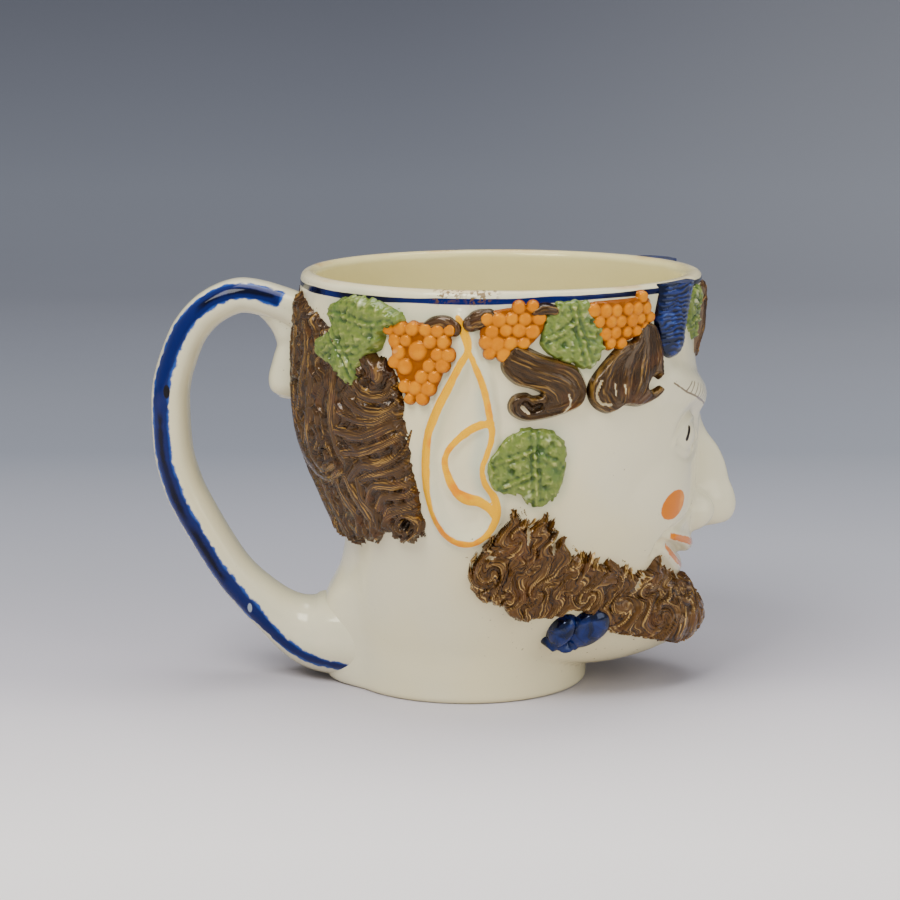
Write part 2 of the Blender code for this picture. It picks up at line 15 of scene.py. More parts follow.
import bmesh
import bpy
import numpy as np
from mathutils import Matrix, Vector


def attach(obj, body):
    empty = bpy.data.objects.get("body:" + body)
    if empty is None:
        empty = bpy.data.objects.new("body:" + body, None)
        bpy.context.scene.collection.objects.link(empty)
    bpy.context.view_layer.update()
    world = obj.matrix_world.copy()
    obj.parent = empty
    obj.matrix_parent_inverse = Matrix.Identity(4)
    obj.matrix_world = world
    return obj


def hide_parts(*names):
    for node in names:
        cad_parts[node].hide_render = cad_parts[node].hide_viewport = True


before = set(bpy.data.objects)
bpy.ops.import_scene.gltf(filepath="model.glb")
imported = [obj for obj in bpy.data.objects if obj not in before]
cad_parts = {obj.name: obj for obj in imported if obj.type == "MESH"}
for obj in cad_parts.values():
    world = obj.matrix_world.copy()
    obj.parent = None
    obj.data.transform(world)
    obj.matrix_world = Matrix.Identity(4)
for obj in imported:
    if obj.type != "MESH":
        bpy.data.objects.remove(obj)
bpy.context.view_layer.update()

LOG = logging.getLogger("satyr_mug")

Point = tuple[float, float]
Line = tuple[Point, ...]
Triple = tuple[float, float, float]
Centre = tuple[Point, float, float]
Window = tuple[float, float, float, float]
Shade = tuple[int, int, int]
Array = np.ndarray
Socket = bpy.types.NodeSocket
Sheet = bmesh.types.BMesh

MM = 0.001
HEIGHT = 112.0
RIM_RADIUS = 53.9
FOOT_RADIUS = 32.9
RIM_LEAD = 9.5
WALL = 4.2
FLOOR = 5.5
DEGREE = RIM_RADIUS * math.pi / 180
FULL_TURN = 2 * math.pi
FAR_AWAY = 9.0
WELD = 1e-6
WHITE: Shade = (255, 255, 255)

EAR_RIM: Line = ((102, 105.5), (101, 94), (106, 82), (108, 69.5), (106, 59.5), (101, 50.5), (94, 47),
                 (87.5, 50.5), (87, 59), (91.5, 66), (91.3, 75), (94, 88), (98.7, 97))
EAR_BOWL: Line = ((92, 79), (98, 76), (103, 70), (101.5, 63), (97, 58.8), (91, 57.5), (87, 54.5))
RIM_LINE: Line = ((0, 110.2), (46, 110.2), (64, 110.1), (78, 109.8), (92, 109.4), (110, 109.2), (130, 108.8),
                  (150, 108.8), (180, 109))
BROW_STROKES: tuple[Line, ...] = (
    ((38.2, 86), (31, 82.8), (22.3, 80.3), (14, 78.2), (9, 76.8)), ((31.5, 83), (27.5, 85)),
    ((28.5, 82.2), (25.5, 84.6)), ((25.5, 81.3), (22.5, 83.9)), ((22.8, 80.4), (19.5, 83.2)),
    ((20, 79.8), (17, 82.4)), ((17.5, 79), (15, 81.4)), ((15, 78.6), (12.5, 80.6)),
    ((12.5, 77.8), (10.5, 79.6)))
EAR_LINE: Line = ((102.4, 105.6), (101.5, 104), (99.8, 100), (99.3, 97), (101.5, 93), (104, 87.5),
                  (106.5, 82), (108.3, 76.5), (108.5, 71), (108, 65), (107, 59.5), (105, 54.5),
                  (101.5, 50), (97, 47.5), (92.5, 47.2),
                  (89, 49), (87, 52), (86.6, 55.5), (88, 59.5), (91, 63), (92.6, 67), (91.8, 71.5),
                  (91.2, 76),
                  (92.5, 81), (94.5, 87.5), (97, 93), (99, 97))
EAR_LINE_WIDTHS: tuple[float, ...] = (1.2, 1.9, 2.1, 1.7, 1.9, 2.3, 2.5, 2.6, 2.6, 2.5, 2.2, 2.0, 2.0,
                                      1.9, 1.7,
                                      1.9, 2.2, 2.3, 2.0, 1.7, 1.4, 1.4, 1.5, 1.7, 1.8, 1.6, 1.3)
EAR_BOWL_LINE: Line = ((91.8, 79), (95, 78.2), (98.5, 76), (102, 72.5), (103.2, 69), (102.2, 65.5),
                       (99.5, 61),
                       (96, 58.8), (92.5, 58.2), (89.5, 57), (87.4, 55))
EAR_BOWL_WIDTHS: tuple[float, ...] = (1.7, 2.2, 2.1, 1.7, 1.5, 1.7, 2.1, 2.8, 2.7, 2.1, 1.5)


class Side(Enum):
    """Which side of the head a piece sits on, as the sign of its Y."""

    NEAR = -1
    FAR = 1


def spline(knots: Sequence[Point], where: Array) -> Array:
    """Read a smooth curve through (position, value) knots.

    Args:
        knots: positions with their values, in any order.
        where: the positions asked for.

    Returns:
        The value at each position, held level past both ends.
    """
    ordered = sorted(knots)
    places = np.array([float(knot[0]) for knot in ordered])
    values = np.array([float(knot[1]) for knot in ordered])
    slopes = np.gradient(values, places)
    left = np.clip(np.searchsorted(places, where) - 1, 0, len(places) - 2)
    gap = places[left + 1] - places[left]
    t = np.clip((where - places[left]) / gap, 0, 1)
    rise = t * t * (3 - 2 * t)
    bend = t * (1 - t) * gap
    return (values[left] * (1 - rise) + values[left + 1] * rise
            + bend * (1 - t) * slopes[left] - bend * t * slopes[left + 1])


def ease(low: float, high: float, value: Array) -> Array:
    """Rise smoothly from zero at low to one at high."""
    t = np.clip((value - low) / (high - low), 0, 1)
    return t * t * (3 - 2 * t)


def ripple(spots: Array, size: float, seed: float) -> Array:
    """Give each spot a soft uneven value from -1 to 1.

    Args:
        spots: places on the wall in millimetres.
        size: the width of one ripple in millimetres.
        seed: a number that shifts the pattern.

    Returns:
        One value a spot.
    """
    total = np.zeros(len(spots))
    for turn in range(5):
        heading = seed * 1.3 + turn * 2.4
        pitch = size * (0.7 + 0.17 * turn)
        run = spots[:, 0] * math.cos(heading) + spots[:, 1] * math.sin(heading)
        total += np.sin(run * 2 * math.pi / pitch + seed * (turn + 1) + total)
    return total / 3.6


def hill(phase: Array) -> Array:
    """Give a smooth wave from 0 to 1 that is highest at every full turn."""
    return 0.5 + 0.5 * np.cos(phase)


def from_face(angle: Array) -> Array:
    """Turn radians into degrees from the middle of the face, the same on both sides."""
    return np.degrees(np.arccos(np.clip(np.cos(angle), -1, 1)))


def on_wall(points: Iterable[Sequence[float]]) -> Array:
    """Turn (degrees, height) points into millimetres across and up the wall."""
    return np.array([(point[0] * DEGREE, point[1]) for point in points])


def smooth_line(points: Sequence[Point], pieces: int = 5) -> Array:
    """Give the points of a smooth open line through the given ones.

    Args:
        points: (degrees, height) points that the line passes through.
        pieces: short straight pieces between two of them.

    Returns:
        Points across and up the wall in millimetres.
    """
    line = on_wall(points)
    knots = np.arange(len(line), dtype=float)
    where = np.linspace(0, len(line) - 1, pieces * (len(line) - 1) + 1)
    across = spline(list(zip(knots, line[:, 0])), where)
    up = spline(list(zip(knots, line[:, 1])), where)
    return np.stack([across, up], -1)


def nearest(spots: Array, line: Array) -> tuple[Array, Array, Array]:
    """Find the nearest point of a line for every spot.

    Args:
        spots: places on the wall.
        line: the points of the line.

    Returns:
        The distance, the share of the way along, and the side as a sign.
    """
    best = np.full(len(spots), 1e9)
    along = np.zeros(len(spots))
    side = np.ones(len(spots))
    for step in range(len(line) - 1):
        run = line[step + 1] - line[step]
        away = spots - line[step]
        t = np.clip((away @ run) / max(float(run @ run), 1e-9), 0, 1)
        gap = np.hypot(away[:, 0] - t * run[0], away[:, 1] - t * run[1])
        closer = gap < best
        best = np.where(closer, gap, best)
        along = np.where(closer, (step + t) / (len(line) - 1), along)
        turn = np.sign(run[0] * away[:, 1] - run[1] * away[:, 0])
        side = np.where(closer, turn, side)
    return best, along, side


def depth_inside(spots: Array, outline: Sequence[Point]) -> Array:
    """Measure how deep each spot lies inside a closed outline.

    Args:
        spots: places on the wall.
        outline: (degrees, height) corners, smoothed between.

    Returns:
        Millimetres to the outline, negative outside it.
    """
    corners = smooth_line(tuple(outline) + (outline[0],), 4)
    gap = nearest(spots, corners)[0]
    inside = np.zeros(len(spots), dtype=bool)
    for start, end in zip(corners[:-1], corners[1:]):
        rise = end[1] - start[1]
        if rise == 0:
            continue
        crosses = (start[1] > spots[:, 1]) != (end[1] > spots[:, 1])
        inside ^= crosses & (spots[:, 0] < start[0] + (spots[:, 1] - start[1]) / rise * (end[0] - start[0]))
    return np.where(inside, gap, -gap)


def away_from(spots: Array, centre: Point) -> Array:
    """Measure from each spot to a (degrees, height) point, in millimetres."""
    middle = on_wall((centre,))[0]
    return np.hypot(spots[:, 0] - middle[0], spots[:, 1] - middle[1])


def dip(gap: Array, radius: float) -> Array:
    """Fall from one at no distance to zero at the radius."""
    return np.clip(1 - (gap / radius) ** 2, 0, None)


def mound(spots: Array, centre: Point, size: Point) -> Array:
    """Raise a smooth dome from zero at its rim to one at its centre."""
    middle = on_wall((centre,))[0]
    t = ((spots[:, 0] - middle[0]) / size[0]) ** 2 + ((spots[:, 1] - middle[1]) / size[1]) ** 2
    return np.clip(1 - t, 0, None) ** 1.5


def ridge(spots: Array, points: Sequence[Point], width: float) -> Array:
    """Raise a soft ridge of the given width along a line, one at its crest."""
    gap = nearest(spots, smooth_line(points, 6))[0]
    return dip(gap, width / 2) ** 1.5


def window_round(points: Line, margin: float, highest: float) -> Window:
    """Frame some points of the wall with a margin, no higher than given."""
    angles, heights = zip(*points)
    top = min(max(heights) + margin, highest)
    return min(angles) - margin, max(angles) + margin, min(heights) - margin, top


def unit_grid(columns: int, rows: int) -> tuple[Sheet, Array]:
    """Make a flat grid, and give each vertex's share of the way along both its sides."""
    sheet = bmesh.new()
    bmesh.ops.create_grid(sheet, x_segments=columns, y_segments=rows, size=0.5)
    return sheet, np.array([vertex.co[:2] for vertex in sheet.verts]) + 0.5


def bend_to(sheet: Sheet, points: Array) -> None:
    """Move the vertices to points given in millimetres."""
    for vertex, point in zip(sheet.verts, (points * MM).tolist()):
        vertex.co = point


def store(sheet: Sheet, name: str, values: Array) -> bmesh.types.BMLayerItem:
    """Store a value or a vector for each vertex under a name.

    Args:
        sheet: the mesh.
        name: the name that the glaze reads.
        values: one value or one vector a vertex.

    Returns:
        The layer that holds them.
    """
    kinds = sheet.verts.layers
    layer = (kinds.float if values.ndim == 1 else kinds.float_vector).new(name)
    for vertex, value in zip(sheet.verts, values.tolist()):
        vertex[layer] = value
    return layer


def as_object(name: str, sheet: Sheet) -> bpy.types.Object:
    """Turn a finished mesh into a smooth object at the origin."""
    mesh = bpy.data.meshes.new(name)
    sheet.to_mesh(mesh)
    sheet.free()
    mesh.shade_smooth()
    return bpy.data.objects.new(name, mesh)


def weld(sheet: Sheet) -> None:
    """Join the vertices that meet, and turn all faces outwards."""
    bmesh.ops.remove_doubles(sheet, verts=sheet.verts, dist=WELD)
    bmesh.ops.recalc_face_normals(sheet, faces=sheet.faces)


@dataclass
class HeadForm:
    """The plain head and the modelling of its face and ears."""

    side: Line = ((0, 0), (5, 0.02), (11, 0.07), (18, 0.195), (27, 0.386), (36, 0.586), (45, 0.757),
                  (54, 0.881), (62, 0.952), (71, 0.986), (80, 0.996), (100, 1))
    back: Line = ((0, 0), (18, 0.01), (30, 0.01), (36, 0.03), (45, 0.34), (54, 0.72), (62, 0.96),
                  (71, 1.07), (80, 1.08), (90, 1.04), (100, 1))
    front: Line = ((0, 0.954), (9, 0.97), (16, 0.993), (21, 0.905), (25, 0.81), (30, 0.843),
                   (38, 0.941), (49, 0.961), (65, 0.98), (71, 0.993), (79, 0.941), (88, 0.941), (100, 1))
    neck: Line = ((0, 0), (5, 0.014), (11, 0.052), (18, 0.124), (27, 0.243), (36, 0.386),
                  (45, 0.576), (62, 0.814), (80, 0.957), (100, 1))
    lead: Line = ((0, 0), (5, 0), (18, 0.05), (36, 0.23), (54, 0.547), (71, 0.81), (89, 0.958), (100, 1))
    nose: Line = ((80, 0), (74, 0.03), (71, 0.10), (68, 0.23), (64, 0.5), (59.5, 0.7), (55, 0.82),
                  (50.5, 0.96),
                  (48, 1), (46, 0.96), (44.2, 0.8), (42.8, 0.36), (40.5, 0.05))
    nose_half_width: Line = ((40.5, 6.5), (44.2, 8), (48, 8.8), (55, 7.4), (64, 6.2), (72, 5.6), (80, 8))
    root: Line = ((0, 0.13), (1.3, 0.16), (4.6, 0.20), (9, 0.22), (15, 0.21), (19, 0.18), (22, 0.145),
                  (24.5, 0.10), (28, 0.045), (32, 0.012), (35, 0))
    root_spread: Point = (8, 36)
    nose_relief: float = 11.4
    ear_relief: float = 1.7

    def middle(self, up: Array) -> Array:
        """Give how far ahead of the foot the form's own axis lies at a height."""
        return RIM_LEAD * spline(self.lead, up / HEIGHT * 100)

    def radius(self, angle: Array, up: Array) -> Array:
        """Give the plain wall's distance from its axis.

        Args:
            angle: radians from the middle of the face.
            up: heights in millimetres.

        Returns:
            Radii in millimetres.
        """
        percent = up / HEIGHT * 100
        spread = RIM_RADIUS - FOOT_RADIUS
        lead = self.middle(up)
        side = FOOT_RADIUS + spread * spline(self.side, percent)
        back = FOOT_RADIUS + (spread - RIM_LEAD) * spline(self.back, percent) + lead
        face = FOOT_RADIUS + (spread + RIM_LEAD) * spline(self.front, percent) - lead
        neck = FOOT_RADIUS + spread * spline(self.neck, percent)
        squareness = 2 + 0.25 * ease(27, 45, percent) * (1 - ease(76, 94, percent))
        along = np.abs(np.cos(angle))
        aside = np.abs(np.sin(angle))
        ahead = np.cos(angle) > 0
        rear = (along / back) ** 2 + (aside / side) ** 2
        full = np.where(ahead, (along / face) ** squareness + (aside / side) ** squareness, rear)
        full = full ** (-1 / np.where(ahead, squareness, 2))
        throat = np.where(ahead, (along / neck) ** 2 + (aside / side) ** 2, rear) ** -0.5
        degrees = from_face(angle)
        chin_level = 4.9 + (degrees / 60) ** 2 * 6.2
        t = np.clip((percent - chin_level) / (11.6 + degrees / 60 * 7), 0, 1)
        turn = ease(20, 70, degrees)
        share = np.sqrt(1 - (1 - t) ** 2) * (1 - turn) + t * t * (3 - 2 * t) * turn
        return throat + (full - throat) * share

    def swelling(self, angle: Array, up: Array) -> Array:
        """Give how far the neck swells out to meet the foot of the handle."""
        percent = up / HEIGHT * 100
        from_back = 180 - from_face(angle)
        reach = FOOT_RADIUS * spline(self.root, percent) * (percent < 35)
        return reach * (1 - ease(*self.root_spread, from_back))

    def plain(self, angle: Array, up: Array) -> Array:
        """Give points of the plain wall, without the face."""
        radius = self.radius(angle, up) + self.swelling(angle, up)
        return np.stack([self.middle(up) + radius * np.cos(angle), radius * np.sin(angle),
                         up + 0 * angle], -1)

    def normal(self, angle: Array, up: Array) -> Array:
        """Give the outward direction of the plain wall."""
        around = self.plain(angle + 0.008, up) - self.plain(angle - 0.008, up)
        above, below = (self.plain(angle, np.clip(up + step, 0, HEIGHT)) for step in (0.7, -0.7))
        rise = above - below
        out = np.cross(around, rise)
        out /= np.linalg.norm(out, axis=1)[:, None]
        out[:, 2] *= ease(4, 13, up) * (1 - ease(105, 110, up))
        return out

    def modelling(self, spots: Array) -> Array:
        """Give the height of brow, eyes, nose, cheeks, mouth and ears above the plain wall."""
        height = 1.5 * ridge(spots, ((-8, 79.2), (8, 79.4), (20, 82.5), (34, 86), (42, 86)), 11)
        height -= 2.6 * mound(spots, (21, 72), (14, 9.0))
        height += 3.4 * mound(spots, (23.5, 70.8), (9.2, 6.2))
        height += 0.75 * ridge(spots, ((11, 68.6), (15, 72.6), (22, 75.2), (29, 74), (34, 70.6)), 2.0)
        height += 0.55 * ridge(spots, ((12, 68), (17, 66.4), (23, 65.8), (29, 67), (34, 69.6)), 1.9)
        height += 1.6 * mound(spots, (31, 55), (16, 13))
        height -= 0.9 * ridge(spots, ((12, 50), (17, 49), (24, 47.6), (31, 45.6)), 2.6)
        height += 1.7 * ridge(spots, ((-7, 37.7), (7, 38.1), (18, 41.6), (29.5, 45)), 5.4)
        height += 1.1 * ridge(spots, ((-7, 30.6), (7, 31.4), (18, 35.6), (28.5, 41.4)), 5.2)
        height -= 1.7 * ridge(spots, ((-7, 34.2), (7, 34.8), (18, 38.8), (30.5, 43.4)), 3.0)
        height -= 0.7 * ridge(spots, ((29.5, 46.5), (31.5, 43.6), (31, 40)), 3.0)
        return height + self.nose_height(spots) + self.ear_height(spots)

    def nose_height(self, spots: Array) -> Array:
        """Give the height of the nose and its wings."""
        rise = spline(self.nose, spots[:, 1]) * ((spots[:, 1] > 40.5) & (spots[:, 1] < 80))
        across = np.clip(np.abs(spots[:, 0]) / spline(self.nose_half_width, spots[:, 1]), 0, 1)
        bridge = (1 - across ** 2) ** 1.35
        wing = mound(spots, (8.2, 47.8), (5.6, 6.0)) ** 0.62
        nostril = mound(spots, (5.2, 43.2), (2.2, 1.4))
        return self.nose_relief * (np.maximum(rise * bridge, 0.46 * wing) - 0.12 * nostril)

    def ear_height(self, spots: Array) -> Array:
        """Give the height of the long pointed ear: rim, dish and bowl."""
        rim = ridge(spots, EAR_RIM + (EAR_RIM[0],), 5.0)
        bowl = ridge(spots, EAR_BOWL, 4.6)
        depth = depth_inside(spots, EAR_RIM)
        dish = ease(0.6, 5.5, depth)
        swell = ease(-3.0, 0.5, depth)
        return self.ear_relief * (0.35 * swell + 0.75 * np.maximum(rim, 0.8 * bowl) - 0.75 * dish)

    def surface(self, angle: Array, up: Array) -> tuple[Array, Array]:
        """Give points and outward directions of the wall with its face and ears."""
        out = self.normal(angle, up)
        spots = np.stack([from_face(angle) * DEGREE, up], -1)
        lift = self.modelling(spots) * ease(3, 8, up) * (1 - ease(106, 110, up))
        return self.plain(angle, up) + out * lift[:, None], out


FORM = HeadForm()


@dataclass(frozen=True)
class Lock:
    """One lock of hair, a ribbon of strands along a line.

    Attributes:
        path: (degrees, height) points from root to tip.
        width: full width in millimetres.
        strands: how many strands lie side by side.
        height: how far it stands, as a share of the piece's relief.
        root: share of the width at the root.
        tip: share of the width at the tip.
    """

    path: Line
    width: float
    strands: int = 5
    height: float = 1.0
    root: float = 0.7
    tip: float = 0.5


class Carving:
    """The carved height of a patch of spots, with what its glaze needs to know."""

    def __init__(self, spots: Array) -> None:
        """Start flat and outside everything."""
        self.spots = spots
        self.lift = np.zeros(len(spots))
        self.inside = np.full(len(spots), -FAR_AWAY)
        self.crest = np.full(len(spots), 0.4)
        self.nearness = np.full(len(spots), FAR_AWAY)
        self.flow = np.stack([spots[:, 0], spots[:, 1], 0 * spots[:, 0]], -1)

    def cover(self, outline: Sequence[Point], height: float, crown: float = 2.5, trim: float = 0.0) -> None:
        """Lay a bed inside an outline, full a little way in from its edge.

        Args:
            outline: (degrees, height) corners.
            height: its full height in millimetres.
            crown: how far in from the edge it is full.
            trim: how far its edge is drawn in.
        """
        depth = depth_inside(self.spots, outline) - trim
        swell = np.sqrt(np.clip(depth / crown, 0, 1))
        self.lift = np.where(depth > 0, np.maximum(self.lift, height * (0.6 + 0.4 * swell)), self.lift)
        self.inside = np.maximum(self.inside, depth)

    def lay(self, lock: Lock, relief: float, strand_depth: float = 0.2, spread: bool = True,
            roundness: float = 0.5) -> None:
        """Lay a lock over what is there, wherever it stands higher.

        Args:
            lock: the lock.
            relief: the piece's full relief in millimetres.
            strand_depth: depth of the grooves between its strands.
            spread: whether it carries the piece's edge outwards.
            roundness: share of its height that falls off towards its sides.
        """
        line = smooth_line(lock.path, 5)
        reach = lock.width * 0.85 + 1.2
        spots = self.spots
        close = np.all((spots > line.min(axis=0) - reach) & (spots < line.max(axis=0) + reach), axis=1)
        index = np.nonzero(close)[0]
        if not len(index):
            return
        gap, along, side = nearest(spots[index], line)
        length = float(np.sum(np.linalg.norm(np.diff(line, axis=0), axis=1)))
        swell = lock.root + (1 - lock.root) * np.sin(np.clip(along / 0.35, 0, 1) * math.pi / 2)
        half = lock.width / 2 * swell * (1 - (1 - lock.tip) * ease(0.45, 1, along))
        across = side * gap / half
        crown = np.sqrt(np.clip(1 - across ** 2, 0, None))
        seed = float(line[0, 0] * 0.37 + line[0, 1] * 0.61)
        wander = 0.22 * np.sin(along * length * 0.7 + seed) + 0.1 * np.sin(along * length * 1.9 + seed * 2)
        crest = hill(FULL_TURN * (across * lock.strands / 2 + wander))
        rise = relief * lock.height * (1 - roundness + roundness * crown) * (0.9 + 0.1 * np.sin(along * math.pi))
        rise += strand_depth * (crest - 0.6) * np.clip(crown * 2.5, 0, 1)
        owned = gap / half < np.minimum(self.nearness[index], 1.7)
        mine = index[owned]
        self.nearness[mine] = (gap / half)[owned]
        self.crest[mine] = (crest * (0.25 + 0.75 * crown))[owned]
        flow = np.stack([across * half, along * length, np.full(len(index), seed % 7)], -1)
        self.flow[mine] = flow[owned]
        wins = (gap < half) & (rise > self.lift[index])
        self.lift[index[wins]] = rise[wins]
        if spread:
            self.inside[index] = np.maximum(self.inside[index], half - gap)

    def wave(self, low: float, high: float, sway: float, pace: float, seed: float,
             whorls: Sequence[Centre]) -> Array:
        """Comb wavy strands over everything that lies inside.

        Args:
            low: height between the locks in millimetres.
            high: height on top of them.
            sway: how far the strands swing aside.
            pace: how quickly they swing along their length.
            seed: a number that shifts the pattern.
            whorls: centres that the strands curl round, each with its reach in millimetres and its
                turn in radians.

        Returns:
            How full the edge is at each spot, in millimetres.
        """
        spots = self.spots
        for centre, reach, turn in whorls:
            middle = on_wall((centre,))[0]
            away = spots - middle
            swing = turn * np.clip(1 - np.hypot(*away.T) / reach, 0, 1) ** 2
            turned = (away[:, 0] * np.cos(swing) - away[:, 1] * np.sin(swing),
                      away[:, 0] * np.sin(swing) + away[:, 1] * np.cos(swing))
            spots = middle + np.stack(turned, -1)
        across, up = spots.T
        field = across + sway * np.sin(up * pace + across * 0.17 + 1.6 * ripple(spots, 19, seed))
        field = field + 0.7 * ripple(spots, 9, seed + 2)
        locks = hill(field * 2 * math.pi / 4.3 + ripple(spots, 12, seed + 1))
        strand = hill(field * 2 * math.pi / 0.92 + 1.2 * ripple(spots, 5, seed + 4))
        rise = low + (high - low) * locks + 0.28 * (strand - 0.6)
        self.lift = np.where(self.inside > -1.5, np.maximum(self.lift, rise), self.lift)
        self.crest = strand * (0.3 + 0.7 * locks)
        self.flow = np.stack([field, up, 0 * up], -1)
        return 1.3 * (locks - 0.5) + 0.8 * (strand - 0.5)

    def slit(self, points: Sequence[Point], width: float, depth: float, bare: bool = True) -> None:
        """Press a slit along a line.

        Args:
            points: (degrees, height) points of the line.
            width: its full width in millimetres.
            depth: how deep it is pressed.
            bare: whether the brown missed it.
        """
        gap = nearest(self.spots, smooth_line(points, 5))[0]
        pressed = dip(gap, width / 2)
        self.lift = self.lift - depth * pressed
        self.crest = np.where(pressed > 0.25, 2.0, self.crest) if bare else self.crest * (1 - pressed)

    def trimmed(self, steepness: float, sink: float) -> Array:
        """Give the lift with its edge sloping down and under the wall."""
        return np.clip(np.minimum(self.lift, self.inside * steepness), -sink, None)


Carver = Callable[[Array], Carving]


@dataclass
class ReliefPiece:
    """A piece of moulded relief: a patch of the wall, carved, trimmed and closed behind.

    Attributes:
        name: the piece's name.
        window: lowest and highest degrees, then lowest and highest height.
        carve: works out the carving over the window.
        step: size of its mesh in millimetres.
        steepness: slope of its edge.
        sink: how far its edge goes under the wall, in millimetres.
        backing: how far its back lies under the wall.
        smallest: how many faces a part of it needs to stay.
    """

    name: str
    window: Window
    carve: Carver
    step: float = 0.3
    steepness: float = 1.5
    sink: float = 0.55
    backing: float = 1.1
    smallest: int = 90

    def build(self, side: Side) -> bpy.types.Object:
        """Build the piece on one side of the head.

        Args:
            side: the side of the head that it sits on.

        Returns:
            The finished object, without a material.
        """
        low, high, bottom, top = self.window
        columns = max(4, round((high - low) * DEGREE / self.step))
        rows = max(4, round((top - bottom) / self.step))
        sheet, place = unit_grid(columns, rows)
        degrees = low + place[:, 0] * (high - low)
        up = bottom + place[:, 1] * (top - bottom)
        folded = np.abs(180 - np.abs(180 - degrees % 360))
        carving = self.carve(np.stack([folded * DEGREE, up], -1))
        lift = carving.trimmed(self.steepness, self.sink)
        base, out = FORM.surface(np.radians(degrees) * side.value, up)
        bend_to(sheet, base + out * lift[:, None])
        store(sheet, "crest", carving.crest)
        store(sheet, "flow", carving.flow)
        under_layer = store(sheet, "under", (base - out * self.backing) * MM)
        outside = lift <= -self.sink + 1e-4
        doomed = [face for face in sheet.faces if all(outside[vertex.index] for vertex in face.verts)]
        bmesh.ops.delete(sheet, geom=doomed, context="FACES")
        self.drop_crumbs(sheet)
        self.close(sheet, under_layer)
        piece = as_object(f"{self.name}_{side.name.lower()}", sheet)
        piece.data.attributes.remove(piece.data.attributes["under"])
        piece.data.set_sharp_from_angle(angle=math.radians(75))
        return piece

    def drop_crumbs(self, sheet: Sheet) -> None:
        """Delete the scraps that the trimming cut off from the sheet."""
        sheet.faces.index_update()
        island = [-1] * len(sheet.faces)
        crumbs: list[bmesh.types.BMFace] = []
        for start in sheet.faces:
            if island[start.index] >= 0:
                continue
            island[start.index] = start.index
            found = [start]
            for face in found:
                for edge in face.edges:
                    for other in edge.link_faces:
                        if island[other.index] < 0:
                            island[other.index] = start.index
                            found.append(other)
            if len(found) < self.smallest:
                crumbs.extend(found)
        bmesh.ops.delete(sheet, geom=crumbs, context="FACES")

    @staticmethod
    def close(sheet: Sheet, under_layer: bmesh.types.BMLayerItem) -> None:
        """Give the carved sheet sides and a simple back that follows the wall."""
        fronts = list(sheet.faces)
        bmesh.ops.extrude_face_region(sheet, geom=fronts, use_keep_orig=True)
        backs = {vertex for face in fronts for vertex in face.verts}
        for vertex in backs:
            vertex.co = vertex[under_layer]
        bmesh.ops.recalc_face_normals(sheet, faces=sheet.faces)
        inner = [edge for edge in sheet.edges if edge.verts[0] in backs and edge.verts[1] in backs]
        bmesh.ops.dissolve_limit(sheet, angle_limit=math.radians(2.5), verts=list(backs), edges=inner,
                                 use_dissolve_boundaries=False)
        ngons = [face for face in sheet.faces if len(face.verts) > 4]
        bmesh.ops.triangulate(sheet, faces=ngons)


def wear(piece: bpy.types.Object, material: bpy.types.Material) -> None:
    """Dress a finished piece, and set it on the mug in place of the plain solid."""
    piece.data.materials.append(material)
    bpy.context.scene.collection.objects.link(piece)
    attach(piece, "root")
    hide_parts("mug")
    LOG.info("%s: %d faces", piece.name, len(piece.data.polygons))


